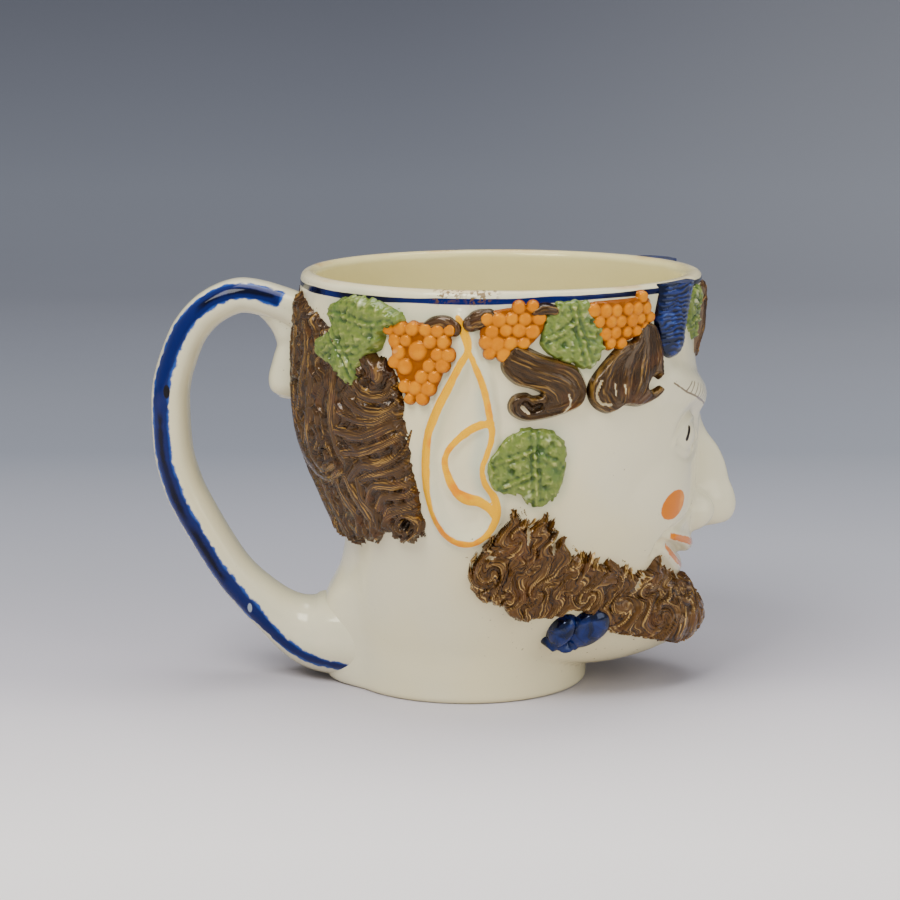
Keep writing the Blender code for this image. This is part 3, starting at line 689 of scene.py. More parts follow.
class Glaze:
    """Adds nodes to one material and wires them."""

    def __init__(self, name: str) -> None:
        """Start a material with its shader."""
        self.material = bpy.data.materials.new(name)
        self.material.use_nodes = True
        self.tree = self.material.node_tree
        self.shader = self.tree.nodes["Principled BSDF"]
        self.position = self.node("ShaderNodeTexCoord").outputs["Object"]

    def node(self, kind: str, **settings: object) -> bpy.types.Node:
        """Add a node and set its options."""
        made = self.tree.nodes.new(kind)
        for key, value in settings.items():
            setattr(made, key, value)
        return made

    def feed(self, socket: Socket, value: object) -> None:
        """Wire a socket into another, or set its plain value."""
        if isinstance(value, Socket):
            self.tree.links.new(value, socket)
        else:
            socket.default_value = value

    def attribute(self, name: str, part: str = "Fac") -> Socket:
        """Read a value stored on the mesh."""
        return self.node("ShaderNodeAttribute", attribute_name=name).outputs[part]

    def noise(self, scale: float, detail: float = 3.0, vector: object = None,
              distortion: float = 0.0) -> Socket:
        """Give a cloudy value from about 0.2 to 0.8."""
        made = self.node("ShaderNodeTexNoise")
        self.feed(made.inputs["Vector"], vector or self.position)
        made.inputs["Scale"].default_value = scale
        made.inputs["Detail"].default_value = detail
        made.inputs["Distortion"].default_value = distortion
        return made.outputs["Fac"]

    def math(self, kind: str, first: object, second: object = 0.0) -> Socket:
        """Work out one sum."""
        made = self.node("ShaderNodeMath", operation=kind)
        self.feed(made.inputs[0], first)
        self.feed(made.inputs[1], second)
        return made.outputs[0]

    def times(self, first: object, second: object) -> Socket:
        """Multiply two values."""
        return self.math("MULTIPLY", first, second)

    def plus(self, first: object, second: object) -> Socket:
        """Add two values."""
        return self.math("ADD", first, second)

    def shake(self, scale: float, detail: float, size: float) -> Socket:
        """Give a cloudy value on both sides of zero."""
        return self.times(self.math("SUBTRACT", self.noise(scale, detail), 0.5), size)

    def span(self, value: object, low: float, high: float, start: float = 0.0, end: float = 1.0,
             soft: bool = True) -> Socket:
        """Map a value from one span to another, held at both ends."""
        made = self.node("ShaderNodeMapRange", interpolation_type="SMOOTHSTEP" if soft else "LINEAR")
        self.feed(made.inputs["Value"], value)
        for slot, number in zip(("From Min", "From Max", "To Min", "To Max"), (low, high, start, end)):
            made.inputs[slot].default_value = number
        return made.outputs["Result"]

    def vector(self, kind: str, first: object, second: object, output: str = "Vector") -> Socket:
        """Work out one sum of vectors."""
        made = self.node("ShaderNodeVectorMath", operation=kind)
        self.feed(made.inputs[0], first)
        self.feed(made.inputs["Scale" if kind == "SCALE" else 1], second)
        return made.outputs[output]

    def to_line(self, *lines: Line) -> Socket:
        """Measure from the place on the wall to the nearest of some lines, in millimetres."""
        wall = self.attribute("wall", "Vector")
        best = None
        for line in lines:
            corners = on_wall(line)
            for start, end in zip(corners[:-1], corners[1:]):
                run = (*(end - start).tolist(), 0.0)
                away = self.vector("SUBTRACT", wall, (*start.tolist(), 0.0))
                share = self.times(self.vector("DOT_PRODUCT", away, run, "Value"),
                                   1 / float((end - start) @ (end - start)))
                share.node.use_clamp = True
                off = self.vector("SUBTRACT", away, self.vector("SCALE", run, share))
                gap = self.vector("LENGTH", off, (0.0, 0.0, 0.0), "Value")
                best = gap if best is None else self.math("MINIMUM", best, gap)
        return best

    def split(self, vector: object) -> bpy.types.bpy_prop_collection:
        """Split a vector into its parts X, Y and Z."""
        made = self.node("ShaderNodeSeparateXYZ")
        self.feed(made.inputs[0], vector)
        return made.outputs

    def stretch(self, vector: object, scale: tuple[float, float, float]) -> Socket:
        """Scale a set of coordinates."""
        made = self.node("ShaderNodeMapping")
        self.feed(made.inputs["Vector"], vector)
        made.inputs["Scale"].default_value = scale
        return made.outputs["Vector"]

    def mix(self, share: object, first: object, second: object) -> Socket:
        """Mix two colours."""
        made = self.node("ShaderNodeMix", data_type="RGBA")
        self.feed(made.inputs["Factor"], share)
        self.feed(made.inputs["A"], colour(first))
        self.feed(made.inputs["B"], colour(second))
        return made.outputs["Result"]

    def ramp(self, value: Socket, reach: float,
             stops: Sequence[tuple[float, Shade]]) -> Socket:
        """Run through colours along a value from 0 to 1, with each stop's place given on a longer reach."""
        made = self.node("ShaderNodeValToRGB")
        self.feed(made.inputs["Fac"], value)
        elements = made.color_ramp.elements
        while len(elements) < len(stops):
            elements.new(1.0)
        for element, (place, shade) in zip(elements, stops):
            element.position = place / reach
            element.color = colour(shade)
        return made.outputs["Color"]

    def finish(self, base: object, rough: object, height: object, depth: float,
               tint: object, coat: float) -> bpy.types.Material:
        """Wire colour, gloss and relief into the shader.

        Args:
            base: the colour.
            rough: the roughness.
            height: the fine relief as a value.
            depth: how deep the relief goes, in metres.
            tint: colour of the light that the paint itself throws back.
            coat: share of clear gloss on top.

        Returns:
            The material.
        """
        self.feed(self.shader.inputs["Base Color"], base)
        self.feed(self.shader.inputs["Roughness"], rough)
        self.shader.inputs["IOR"].default_value = 1.52
        self.feed(self.shader.inputs["Specular Tint"], colour(tint))
        self.shader.inputs["Coat Weight"].default_value = coat
        self.shader.inputs["Coat Roughness"].default_value = 0.06
        bump = self.node("ShaderNodeBump")
        bump.inputs["Strength"].default_value = 1.0
        bump.inputs["Distance"].default_value = depth
        self.feed(bump.inputs["Height"], height)
        self.feed(self.shader.inputs["Normal"], bump.outputs["Normal"])
        return self.material


def colour(value: object) -> object:
    """Turn a tuple of display colour from 0 to 255 into a linear one, and leave a socket alone."""
    if isinstance(value, Socket):
        return value
    return (*((channel / 255) ** 2.2 for channel in value), 1.0)


@dataclass(frozen=True)
class CreamGlaze:
    """Clear lead glaze over the cream body, with the painted lines of face and rim."""

    cream: Shade = (226, 217, 182)
    warm: Shade = (229, 217, 172)
    pooled: Shade = (184, 194, 164)
    hollow: Shade = (221, 208, 146)
    cobalt: Shade = (18, 30, 84)
    cobalt_dark: Shade = (12, 14, 34)
    ochre: Shade = (240, 172, 0)
    ochre_deep: Shade = (230, 136, 0)
    orange: Shade = (212, 116, 0)
    eyebrow: Shade = (84, 56, 20)
    pupil: Shade = (34, 22, 16)
    rim_line_half: float = 0.00074

    def ground(self, glaze: Glaze) -> Socket:
        """Lay the cream ground, with cloudy tints, pooled green and scattered specks."""
        base = glaze.mix(glaze.span(glaze.noise(22, 2), 0.35, 0.65), self.cream, self.warm)
        pool = glaze.times(glaze.attribute("pool"), glaze.span(glaze.noise(90, 3), 0.3, 0.6))
        base = glaze.mix(glaze.times(pool, 0.55), base, self.pooled)
        speck = glaze.span(glaze.noise(900, 1), 0.735, 0.765)
        sparse = glaze.times(speck, glaze.span(glaze.noise(35, 1), 0.55, 0.68))
        return glaze.mix(glaze.times(sparse, 0.8), base, (120, 96, 66))

    def stroke(self, glaze: Glaze, base: object, name: str, paint: object, wobble: float = 0.5,
               soft: float = 0.12) -> Socket:
        """Paint where the named distance is below zero, with a hand-drawn edge."""
        uneven = glaze.shake(420, 2, wobble)
        edge = glaze.plus(glaze.attribute(name), uneven)
        return glaze.mix(glaze.span(edge, soft, -soft), base, paint)

    def make(self) -> bpy.types.Material:
        """Build the glaze of the body."""
        glaze = Glaze("cream_glaze")
        outer = glaze.attribute("outer")
        ground = self.ground(glaze)
        # Painted shade: a grey-green tint laid along the ear's hollow, strongest on its line, stands in for the
        # shade inside the ear.
        dish = glaze.to_line(((94.6, 86), (93.6, 77), (94.4, 68), (92, 62), (89.5, 59.5)))
        ground = glaze.mix(glaze.span(dish, 3.6, 0.2, 0.0, 0.5), ground, (176, 188, 170))
        base = glaze.mix(outer, self.hollow, ground)
        shade = glaze.span(glaze.noise(130, 3), 0.54, 0.72)
        base = self.stroke(glaze, base, "ear_line", glaze.mix(shade, self.ochre, self.ochre_deep))
        base = self.stroke(glaze, base, "orange_paint", glaze.mix(shade, self.orange, (236, 148, 40)))
        base = self.drawn_features(glaze, base, outer)
        base = self.rim(glaze, base, outer)
        return self.glossy(glaze, base, 0.00022, 0.04, 0.13)

    @staticmethod
    def glossy(glaze: Glaze, base: object, depth: float, white: float, coat: float) -> bpy.types.Material:
        """Finish a cream glaze with a slightly uneven gloss.

        Args:
            glaze: the glaze that is built.
            base: its colour.
            depth: depth of the unevenness in metres.
            white: share of white in the light that the paint throws back.
            coat: share of clear gloss on top.

        Returns:
            The material.
        """
        rough = glaze.span(glaze.noise(160, 3), 0.3, 0.7, 0.10, 0.2)
        height = glaze.plus(glaze.noise(120, 2), glaze.times(glaze.noise(700, 2), 0.12))
        return glaze.finish(base, rough, height, depth, glaze.mix(white, base, WHITE), coat)

    def rim(self, glaze: Glaze, base: object, outer: object) -> Socket:
        """Draw the blue line below the rim, and wear the rim with stains and brown flecks."""
        height = glaze.split(glaze.position)["Z"]
        away = glaze.math("ABSOLUTE", glaze.math("SUBTRACT", height, glaze.attribute("line_height")))
        away = glaze.plus(away, glaze.shake(60, 3, 0.0009))
        line = glaze.times(glaze.span(away, self.rim_line_half + 0.0001, self.rim_line_half - 0.0001), outer)
        blue = glaze.mix(glaze.span(glaze.noise(48, 3), 0.38, 0.56), self.cobalt, self.cobalt_dark)
        base = glaze.mix(line, base, blue)
        lip = glaze.span(height, 0.1110, 0.1117)
        stain = glaze.times(lip, glaze.span(glaze.noise(70, 4), 0.45, 0.7, 0.0, 0.7))
        base = glaze.mix(stain, base, (198, 152, 88))
        base = glaze.mix(glaze.times(lip, 0.25), base, (214, 190, 130))
        worn = glaze.span(glaze.to_line(((108, 110.6), (103.5, 111.6)), ((98.5, 110.4), (94, 111.4))),
                          3.2, 0.6)
        flecks = glaze.span(glaze.noise(1100, 3), 0.5, 0.58)
        worn = glaze.times(glaze.times(worn, flecks), outer)
        return glaze.mix(glaze.times(worn, 0.85), base, (104, 74, 30))

    def drawn_features(self, glaze: Glaze, base: object, outer: object) -> Socket:
        """Draw the fine eyebrow with its hairs and the sliver of the eye."""
        shake = glaze.shake(700, 2, 0.3)
        brow = glaze.plus(glaze.to_line(*BROW_STROKES), shake)
        share = glaze.times(glaze.span(brow, 0.34, 0.12), outer)
        base = glaze.mix(glaze.times(share, 0.85), base, self.eyebrow)
        eye = glaze.plus(glaze.to_line(((26.2, 73.0), (27.2, 71.6), (28.0, 70.2))), shake)
        return glaze.mix(glaze.times(glaze.span(eye, 0.66, 0.44), outer), base, self.pupil)


@dataclass(frozen=True)
class HandleGlaze(CreamGlaze):
    """The cream glaze of the handle, with its blue stripes."""

    def make(self) -> bpy.types.Material:
        """Build the glaze of the handle."""
        glaze = Glaze("handle_glaze")
        base = self.ground(glaze)
        streak = glaze.plus(glaze.attribute("stripe"), glaze.times(glaze.noise(240, 4), 1.6))
        blue = glaze.mix(glaze.span(streak, 0.75, -0.1), (40, 76, 150), self.cobalt)
        pooled = glaze.times(glaze.span(streak, -0.5, -1.5), glaze.span(glaze.noise(60, 2), 0.4, 0.55))
        blue = glaze.mix(pooled, blue, self.cobalt_dark)
        base = self.stroke(glaze, base, "stripe", blue, 1.9, 0.3)
        # Painted shade: two small pits on the near side, not modelled, are painted as a near-black oval and a
        # grey oval.
        for place, size, shade in (((-80.4, 79.6), 1.3, (18, 16, 22)), ((-58.8, 20.3), 0.9, (150, 160, 168))):
            base = self.pit(glaze, base, place, size, shade)
        return self.glossy(glaze, base, 0.00025, 0.1, 0.25)

    @staticmethod
    def pit(glaze: Glaze, base: object, place: Point, size: float, shade: Shade) -> Socket:
        """Paint the shade of a small tall pit in the glaze on the near side as an oval of the given colour, at
        (x, height) in millimetres; the pit itself is not modelled.
        """
        away = glaze.vector("SUBTRACT", glaze.position, (place[0] * MM, -0.0078, place[1] * MM))
        gap = glaze.vector("LENGTH", glaze.stretch(away, (1.7, 0.5, 0.8)), (0.0, 0.0, 0.0), "Value")
        return glaze.mix(glaze.span(gap, size * 1.35 * MM, size * MM), base, shade)


@dataclass(frozen=True)
class HairGlaze:
    """Brown under the glaze, dark in the grooves and golden on the strands."""

    name: str = "hair_glaze"
    groove: Shade = (34, 24, 17)
    brown: Shade = (68, 47, 25)
    ridge: Shade = (176, 134, 66)
    golden: float = 0.62
    fineness: float = 1.7

    def make(self) -> bpy.types.Material:
        """Build the glaze of the hair."""
        glaze = Glaze(self.name)
        flow = glaze.attribute("flow", "Vector")
        fine = glaze.noise(1.0, 2, glaze.stretch(flow, (self.fineness, 0.12, 9.0)), 0.15)
        thin = glaze.noise(1.0, 2, glaze.stretch(flow, (self.fineness * 2.3, 0.2, 5.0)), 0.15)
        broad = glaze.noise(1.0, 2, glaze.stretch(flow, (0.5, 0.12, 3.0)))
        crest = glaze.math("MINIMUM", glaze.attribute("crest"), 1.0)
        lines = glaze.plus(glaze.times(fine, 0.7), glaze.times(thin, 0.45))
        tone = glaze.plus(glaze.times(crest, 0.3), lines)
        base = glaze.mix(glaze.span(tone, 0.5, 0.7), self.groove, self.brown)
        gold = glaze.times(glaze.span(tone, 0.72, 0.86), glaze.span(broad, 0.4, 0.6))
        base = glaze.mix(glaze.times(gold, self.golden), base, self.ridge)
        red = glaze.span(glaze.noise(150, 2), 0.52, 0.72)
        base = glaze.mix(glaze.times(red, 0.25), base, (104, 58, 28))
        bare = glaze.span(glaze.attribute("crest"), 1.2, 1.7)
        base = glaze.mix(glaze.times(bare, 0.9), base, (206, 190, 150))
        return glaze.finish(base, glaze.span(thin, 0.3, 0.7, 0.07, 0.15), lines, 0.0002, (215, 182, 142),
                            0.28)


@dataclass(frozen=True)
class LeafGlaze:
    """Translucent green, pale on the ridges and dark in the veins."""

    def make(self) -> bpy.types.Material:
        """Build the glaze of the leaves."""
        glaze = Glaze("leaf_glaze")
        crest = glaze.attribute("crest")
        mottle = glaze.noise(420, 4, distortion=0.6)
        tone = glaze.plus(glaze.times(crest, 0.75), glaze.times(mottle, 0.6))
        base = glaze.mix(glaze.span(tone, 0.25, 0.66), (62, 84, 40), (106, 122, 52))
        base = glaze.mix(glaze.span(tone, 0.66, 1.05), base, (164, 166, 92))
        teal = glaze.times(glaze.span(glaze.noise(130, 3), 0.54, 0.68), 0.45)
        base = glaze.mix(teal, base, (62, 98, 48))
        pale = glaze.times(glaze.span(glaze.noise(210, 2), 0.62, 0.72), glaze.span(tone, 0.5, 0.8))
        base = glaze.mix(glaze.times(pale, 0.6), base, (206, 212, 164))
        return glaze.finish(base, glaze.span(mottle, 0.3, 0.7, 0.12, 0.24), mottle, 0.00025,
                            (222, 226, 190), 0.2)


@dataclass(frozen=True)
class FruitGlaze:
    """Orange over the berries, deeper between them and thin on their tops."""

    def make(self) -> bpy.types.Material:
        """Build the glaze of the grapes."""
        glaze = Glaze("fruit_glaze")
        crest = glaze.attribute("crest")
        cloud = glaze.noise(260, 3)
        base = glaze.mix(glaze.span(crest, 0.2, 0.86), (136, 70, 0), (200, 115, 0))
        top = glaze.times(glaze.span(crest, 0.6, 1.0), glaze.span(cloud, 0.35, 0.65))
        base = glaze.mix(glaze.times(top, 0.5), base, (228, 150, 20))
        bare = glaze.times(glaze.span(glaze.noise(140, 2), 0.68, 0.75), 0.6)
        base = glaze.mix(bare, base, (226, 206, 150))
        return glaze.finish(base, glaze.span(cloud, 0.3, 0.7, 0.08, 0.16), cloud, 0.0002, (250, 172, 40),
                            0.09)


@dataclass(frozen=True)
class CobaltGlaze:
    """Strong blue, nearly black where it pools and paler on the ridges."""

    def make(self) -> bpy.types.Material:
        """Build the glaze of the horns and the beard's knot."""
        glaze = Glaze("cobalt_glaze")
        crest = glaze.attribute("crest")
        cloud = glaze.noise(230, 4, distortion=0.8)
        tone = glaze.plus(glaze.times(crest, 0.45), cloud)
        base = glaze.mix(glaze.span(tone, 0.52, 0.84), (10, 12, 28), (24, 40, 96))
        base = glaze.mix(glaze.span(tone, 0.84, 1.06), base, (62, 90, 156))
        return glaze.finish(base, glaze.span(cloud, 0.3, 0.7, 0.07, 0.15), cloud, 0.0002,
                            (170, 190, 240), 0.2)


@dataclass
class Vessel:
    """The hollow body: outer wall with face and ears, lip, inner wall, floor and foot."""

    fine_step: float = 0.62
    coarse_step: float = 1.5
    fine_until: float = 112.0
    row_step: float = 0.72
    inner_rows: int = 34
    foot_rounding: float = 1.4

    def columns(self) -> Array:
        """Give the angles of the mesh columns, closer together over the face and ears."""
        fine = np.linspace(0, self.fine_until, round(self.fine_until / self.fine_step) + 1)
        rest = np.linspace(self.fine_until, 180, round((180 - self.fine_until) / self.coarse_step) + 1)[1:]
        half = np.concatenate([fine, rest])
        return np.radians(np.concatenate([-half[::-1], half[1:]]))

    def rows(self) -> Array:
        """List the mesh rows from the middle of the underside to the middle of the floor.

        Returns:
            Heights, whether each row is on the inside, shares of the radius, and how far each
            row is drawn in at a rounded edge.
        """
        foot = self.foot_rounding
        lip = WALL / 2
        shoulder = HEIGHT - lip
        corner = FLOOR + WALL
        bend = np.linspace(0, math.pi / 2, 6)
        roll = np.linspace(0, math.pi / 2, 7)
        rise = np.linspace(foot, shoulder, round(shoulder / self.row_step))
        rows = [(0.0, 0, share, 0.0) for share in (0.0, 0.35, 0.7, 0.93)]
        rows += [(foot * (1 - math.cos(turn)), 0, 1, foot * (1 - math.sin(turn))) for turn in bend]
        rows += [(height, 0, 1, 0.0) for height in rise[1:]]
        rows += [(shoulder + lip * math.sin(turn), 0, 1, lip * (1 - math.cos(turn))) for turn in roll[1:]]
        rows += [(shoulder + lip * math.sin(turn), 1, 1, -lip * (1 - math.cos(turn)))
                 for turn in np.linspace(math.pi / 2, 0, 7)[1:]]
        rows += [(height, 1, 1, 0.0) for height in np.linspace(shoulder, corner, self.inner_rows)[1:]]
        rows += [(corner - WALL * math.sin(turn), 1, 1, WALL * (1 - math.cos(turn))) for turn in bend[1:]]
        rows += [(FLOOR, 1, share, WALL) for share in (0.66, 0.33, 0.0)]
        return np.array(rows).T

    def inner_radius(self, angle: Array, up: Array) -> Array:
        """Give the radius of the hollow, which smooths over the face and keeps the wall's thickness."""
        least = np.full(len(angle), math.inf)
        for step in (-7.8, -5.6, -3.4, -1.7, 0, 1.7, 3.4):
            nearby = np.clip(up + step, 0, HEIGHT)
            shift = (FORM.middle(nearby) - FORM.middle(up)) * np.cos(angle)
            least = np.minimum(least, FORM.radius(angle, nearby) + shift)
        return least - WALL

    def build(self) -> bpy.types.Object:
        """Build the body and what its paint needs to know."""
        angles = self.columns()
        heights, inside, shares, drawn = self.rows()
        sheet, place = unit_grid(len(angles) - 1, len(heights) - 1)
        angle = angles[np.rint(place[:, 0] * (len(angles) - 1)).astype(int)]
        row = np.rint(place[:, 1] * (len(heights) - 1)).astype(int)
        up = heights[row]
        outer, _ = FORM.surface(angle, up)
        middle = np.stack([FORM.middle(up), 0 * up, up], -1)
        reach = np.linalg.norm((outer - middle)[:, :2], axis=1)
        outer = middle + (outer - middle) * ((1 - drawn[row] / reach) * shares[row])[:, None]
        hollow = (self.inner_radius(angle, up) - drawn[row]) * shares[row]
        inner = middle + np.stack([np.cos(angle) * hollow, np.sin(angle) * hollow, 0 * up], -1)
        points = np.where(inside[row][:, None] > 0.5, inner, outer)
        points[:, 2] = np.where((inside[row] < 0.5) & (up > 3) & (up < 109), outer[:, 2], up)
        bend_to(sheet, points)
        for name, values in self.paint_layers(angle, up, inside[row]).items():
            store(sheet, name, values)
        weld(sheet)
        return as_object("mug_body", sheet)

    @staticmethod
    def paint_layers(angle: Array, up: Array, inside: Array) -> dict[str, Array]:
        """Work out what the glaze needs to know at every vertex.

        Args:
            angle: radians from the middle of the face.
            up: heights.
            inside: one on the inner wall.

        Returns:
            Millimetres to the edge of two paints, negative where they are painted, the height of
            the rim's line in metres, shares of outer wall and of pooled glaze, and places on the wall.
        """
        spots = np.stack([np.degrees(np.abs(angle)) * DEGREE, up], -1)
        hidden = FAR_AWAY * inside
        ear = np.minimum(stroke_distance(spots, EAR_LINE, EAR_LINE_WIDTHS),
                         stroke_distance(spots, EAR_BOWL_LINE, EAR_BOWL_WIDTHS))
        lips = np.minimum(stroke_distance(spots, ((28.8, 45), (22, 43), (14, 40.8), (6, 39)),
                                          (1.5, 1.6, 1.6, 1.4)),
                          stroke_distance(spots, ((27.2, 41.3), (22, 38.4), (14, 34.8), (6, 32)),
                                          (1.1, 1.2, 1.2, 1.1)))
        centre = on_wall(((31.6, 53.6),))[0]
        cheek = (np.hypot((spots[:, 0] - centre[0]) / 4.8, (spots[:, 1] - centre[1]) / 4.0) - 1) * 4.0
        relief = np.full(len(spots), FAR_AWAY)
        for outline in POOLING_OUTLINES:
            relief = np.minimum(relief, np.abs(depth_inside(spots, outline)))
        return {"ear_line": ear + hidden, "orange_paint": np.minimum(lips, cheek) + hidden,
                "line_height": spline(RIM_LINE, spots[:, 0] / DEGREE) * MM,
                "outer": 1 - inside,
                "pool": np.clip(1 - relief / 3.5, 0, 1) * (1 - inside),
                "wall": np.stack([spots[:, 0], up, 0 * up], -1)}


def stroke_distance(spots: Array, path: Line, widths: Sequence[float]) -> Array:
    """Measure to the edge of a brush stroke of changing width, negative inside it."""
    line = smooth_line(path, 6)
    gap, along, _ = nearest(spots, line)
    knots = np.linspace(0, 1, len(widths))
    return gap - np.interp(along, knots, widths) / 2


@dataclass
class StrapHandle:
    """The strap handle, its drop at the top and its broad foot on the neck."""

    reach: float = 40.3
    thickness: float = 9.8
    width: float = 15.5
    stations: int = 130
    sides: int = 56
    path: Line = ((-0.07, 0.876), (0.01, 0.893), (0.11, 0.911), (0.26, 0.929), (0.40, 0.936),
                  (0.53, 0.922), (0.65, 0.893), (0.75, 0.849), (0.82, 0.791), (0.87, 0.730),
                  (0.885, 0.669), (0.87, 0.558), (0.81, 0.474), (0.74, 0.419), (0.61, 0.335),
                  (0.48, 0.262), (0.34, 0.206), (0.18, 0.156), (0.04, 0.124), (-0.09, 0.110), (-0.32, 0.104))
    swell: tuple[Triple, ...] = (
        (0, 1.15, 1.15), (0.08, 0.98, 1.05), (0.3, 1.0, 0.95), (0.6, 1.1, 0.95), (0.8, 1.22, 1.05),
        (0.85, 1.4, 1.16), (0.9, 1.78, 1.36), (0.95, 2.15, 1.78), (1, 2.4, 2.35))
    foot_curve: float = 31.4
    drop_half_width: float = 6.2
    drop: tuple[Triple, ...] = (
        (0.11, 0.918, 8.0), (0.085, 0.893, 6.8), (0.06, 0.857, 5.5), (0.05, 0.817, 4.7), (0.07, 0.777, 5.0),
        (0.094, 0.732, 5.3), (0.104, 0.702, 4.2), (0.112, 0.688, 1.8))

    def sweep(self, x: Array, z: Array, thick: Array, wide: Array,
              sides: int) -> tuple[Sheet, Array, Array]:
        """Sweep a squarish oval section along a line behind the mug.

        Args:
            x: the line's places behind the foot, in millimetres.
            z: its heights.
            thick: half the section's thickness at each place.
            wide: half its width.
            sides: points round the section.

        Returns:
            The mesh, still open where its ends meet, then every point's turn and station.
        """
        stations = len(x) - 1
        along_x = np.gradient(x)
        along_z = np.gradient(z)
        size = np.hypot(along_x, along_z)
        tube, place = unit_grid(stations + 2, sides)
        ring = np.rint(place[:, 0] * (stations + 2)).astype(int)
        station = np.clip(ring - 1, 0, stations)
        open_share = np.where((ring == 0) | (ring == stations + 2), 0.0, 1.0)
        turn = place[:, 1] * 2 * math.pi
        squared = 1 / (np.abs(np.cos(turn)) ** 2.4 + np.abs(np.sin(turn)) ** 2.4) ** (1 / 2.4)
        outward = np.cos(turn) * squared * thick[station] * open_share
        sideways = np.sin(turn) * squared * wide[station] * open_share
        points = np.stack([x[station] - (along_z / size)[station] * outward, sideways,
                           np.maximum(z[station] + (along_x / size)[station] * outward, 0.6)], -1)
        bend_to(tube, points)
        return tube, turn, station

    def line(self, points: Sequence[Sequence[float]], where: Array) -> tuple[Array, Array]:
        """Give places behind the foot and heights in millimetres along a smooth line.

        Args:
            points: its places in reaches of the handle, and its heights in heights of the mug.
            where: the positions asked for, counted in points.

        Returns:
            The places and the heights.
        """
        back, up = (spline([(knot, point[part]) for knot, point in enumerate(points)],
                           where) for part in (0, 1))
        return RIM_LEAD - RIM_RADIUS - self.reach * back, HEIGHT * up

    def build(self) -> bpy.types.Object:
        """Build the handle by sweeping its oval section along the path."""
        where = np.linspace(0, len(self.path) - 1, self.stations + 1)
        x, z = self.line(self.path, where)
        share = where / where[-1]
        thick = self.thickness / 2 * spline([(row[0], row[1]) for row in self.swell], share)
        wide = self.width / 2 * spline([(row[0], row[2]) for row in self.swell], share)
        tube, turn, station = self.sweep(x, z, thick, wide, self.sides)
        for vertex, late in zip(tube.verts, ease(0.87, 1, share[station]).tolist()):
            across = min(abs(vertex.co.y) / MM, self.foot_curve - 1)
            vertex.co.x += late * (self.foot_curve - math.sqrt(self.foot_curve ** 2 - across ** 2)) * MM
        length = np.concatenate([[0], np.cumsum(np.hypot(np.diff(x), np.diff(z)))])
        self.paint(tube, turn, length[station], length[-1])
        weld(tube)
        return as_object("handle", tube)

    @staticmethod
    def paint(tube: Sheet, turn: Array, along: Array, length: float) -> None:
        """Store the distance to the blue stripe on each side of the handle.

        Args:
            tube: the handle's mesh.
            turn: how far round the section each vertex lies, in radians.
            along: how far along the handle it lies, in millimetres.
            length: the handle's length.
        """
        from_out = np.degrees(np.arccos(np.clip(-np.cos(turn), -1, 1)))
        late = ease(0.76, 1, along / length)
        across = np.abs(from_out - 64.5 + 9 * late) / 90 * 8.2 * (1 + 1.2 * late)
        half = 2.55 - 1.2 * late
        ends = np.maximum(9.4 - along, along - (length - 3.5))
        store(tube, "stripe", np.maximum(across - half, ends))
        store(tube, "pool", 0.25 * np.abs(np.cos(turn * 2)))

    def build_drop(self) -> bpy.types.Object:
        """Build the drop of clay that hangs from the handle's upper end."""
        where = np.linspace(0, len(self.drop) - 1, 60)
        x, z = self.line(self.drop, where)
        radius = spline([(knot, point[2]) for knot, point in enumerate(self.drop)], where)
        tube, turn, _ = self.sweep(x, z, radius, np.minimum(radius * 1.2, self.drop_half_width), 40)
        store(tube, "stripe", np.full(len(turn), FAR_AWAY))
        store(tube, "pool", np.full(len(turn), 0.3))
        weld(tube)
        return as_object("handle_drop", tube)


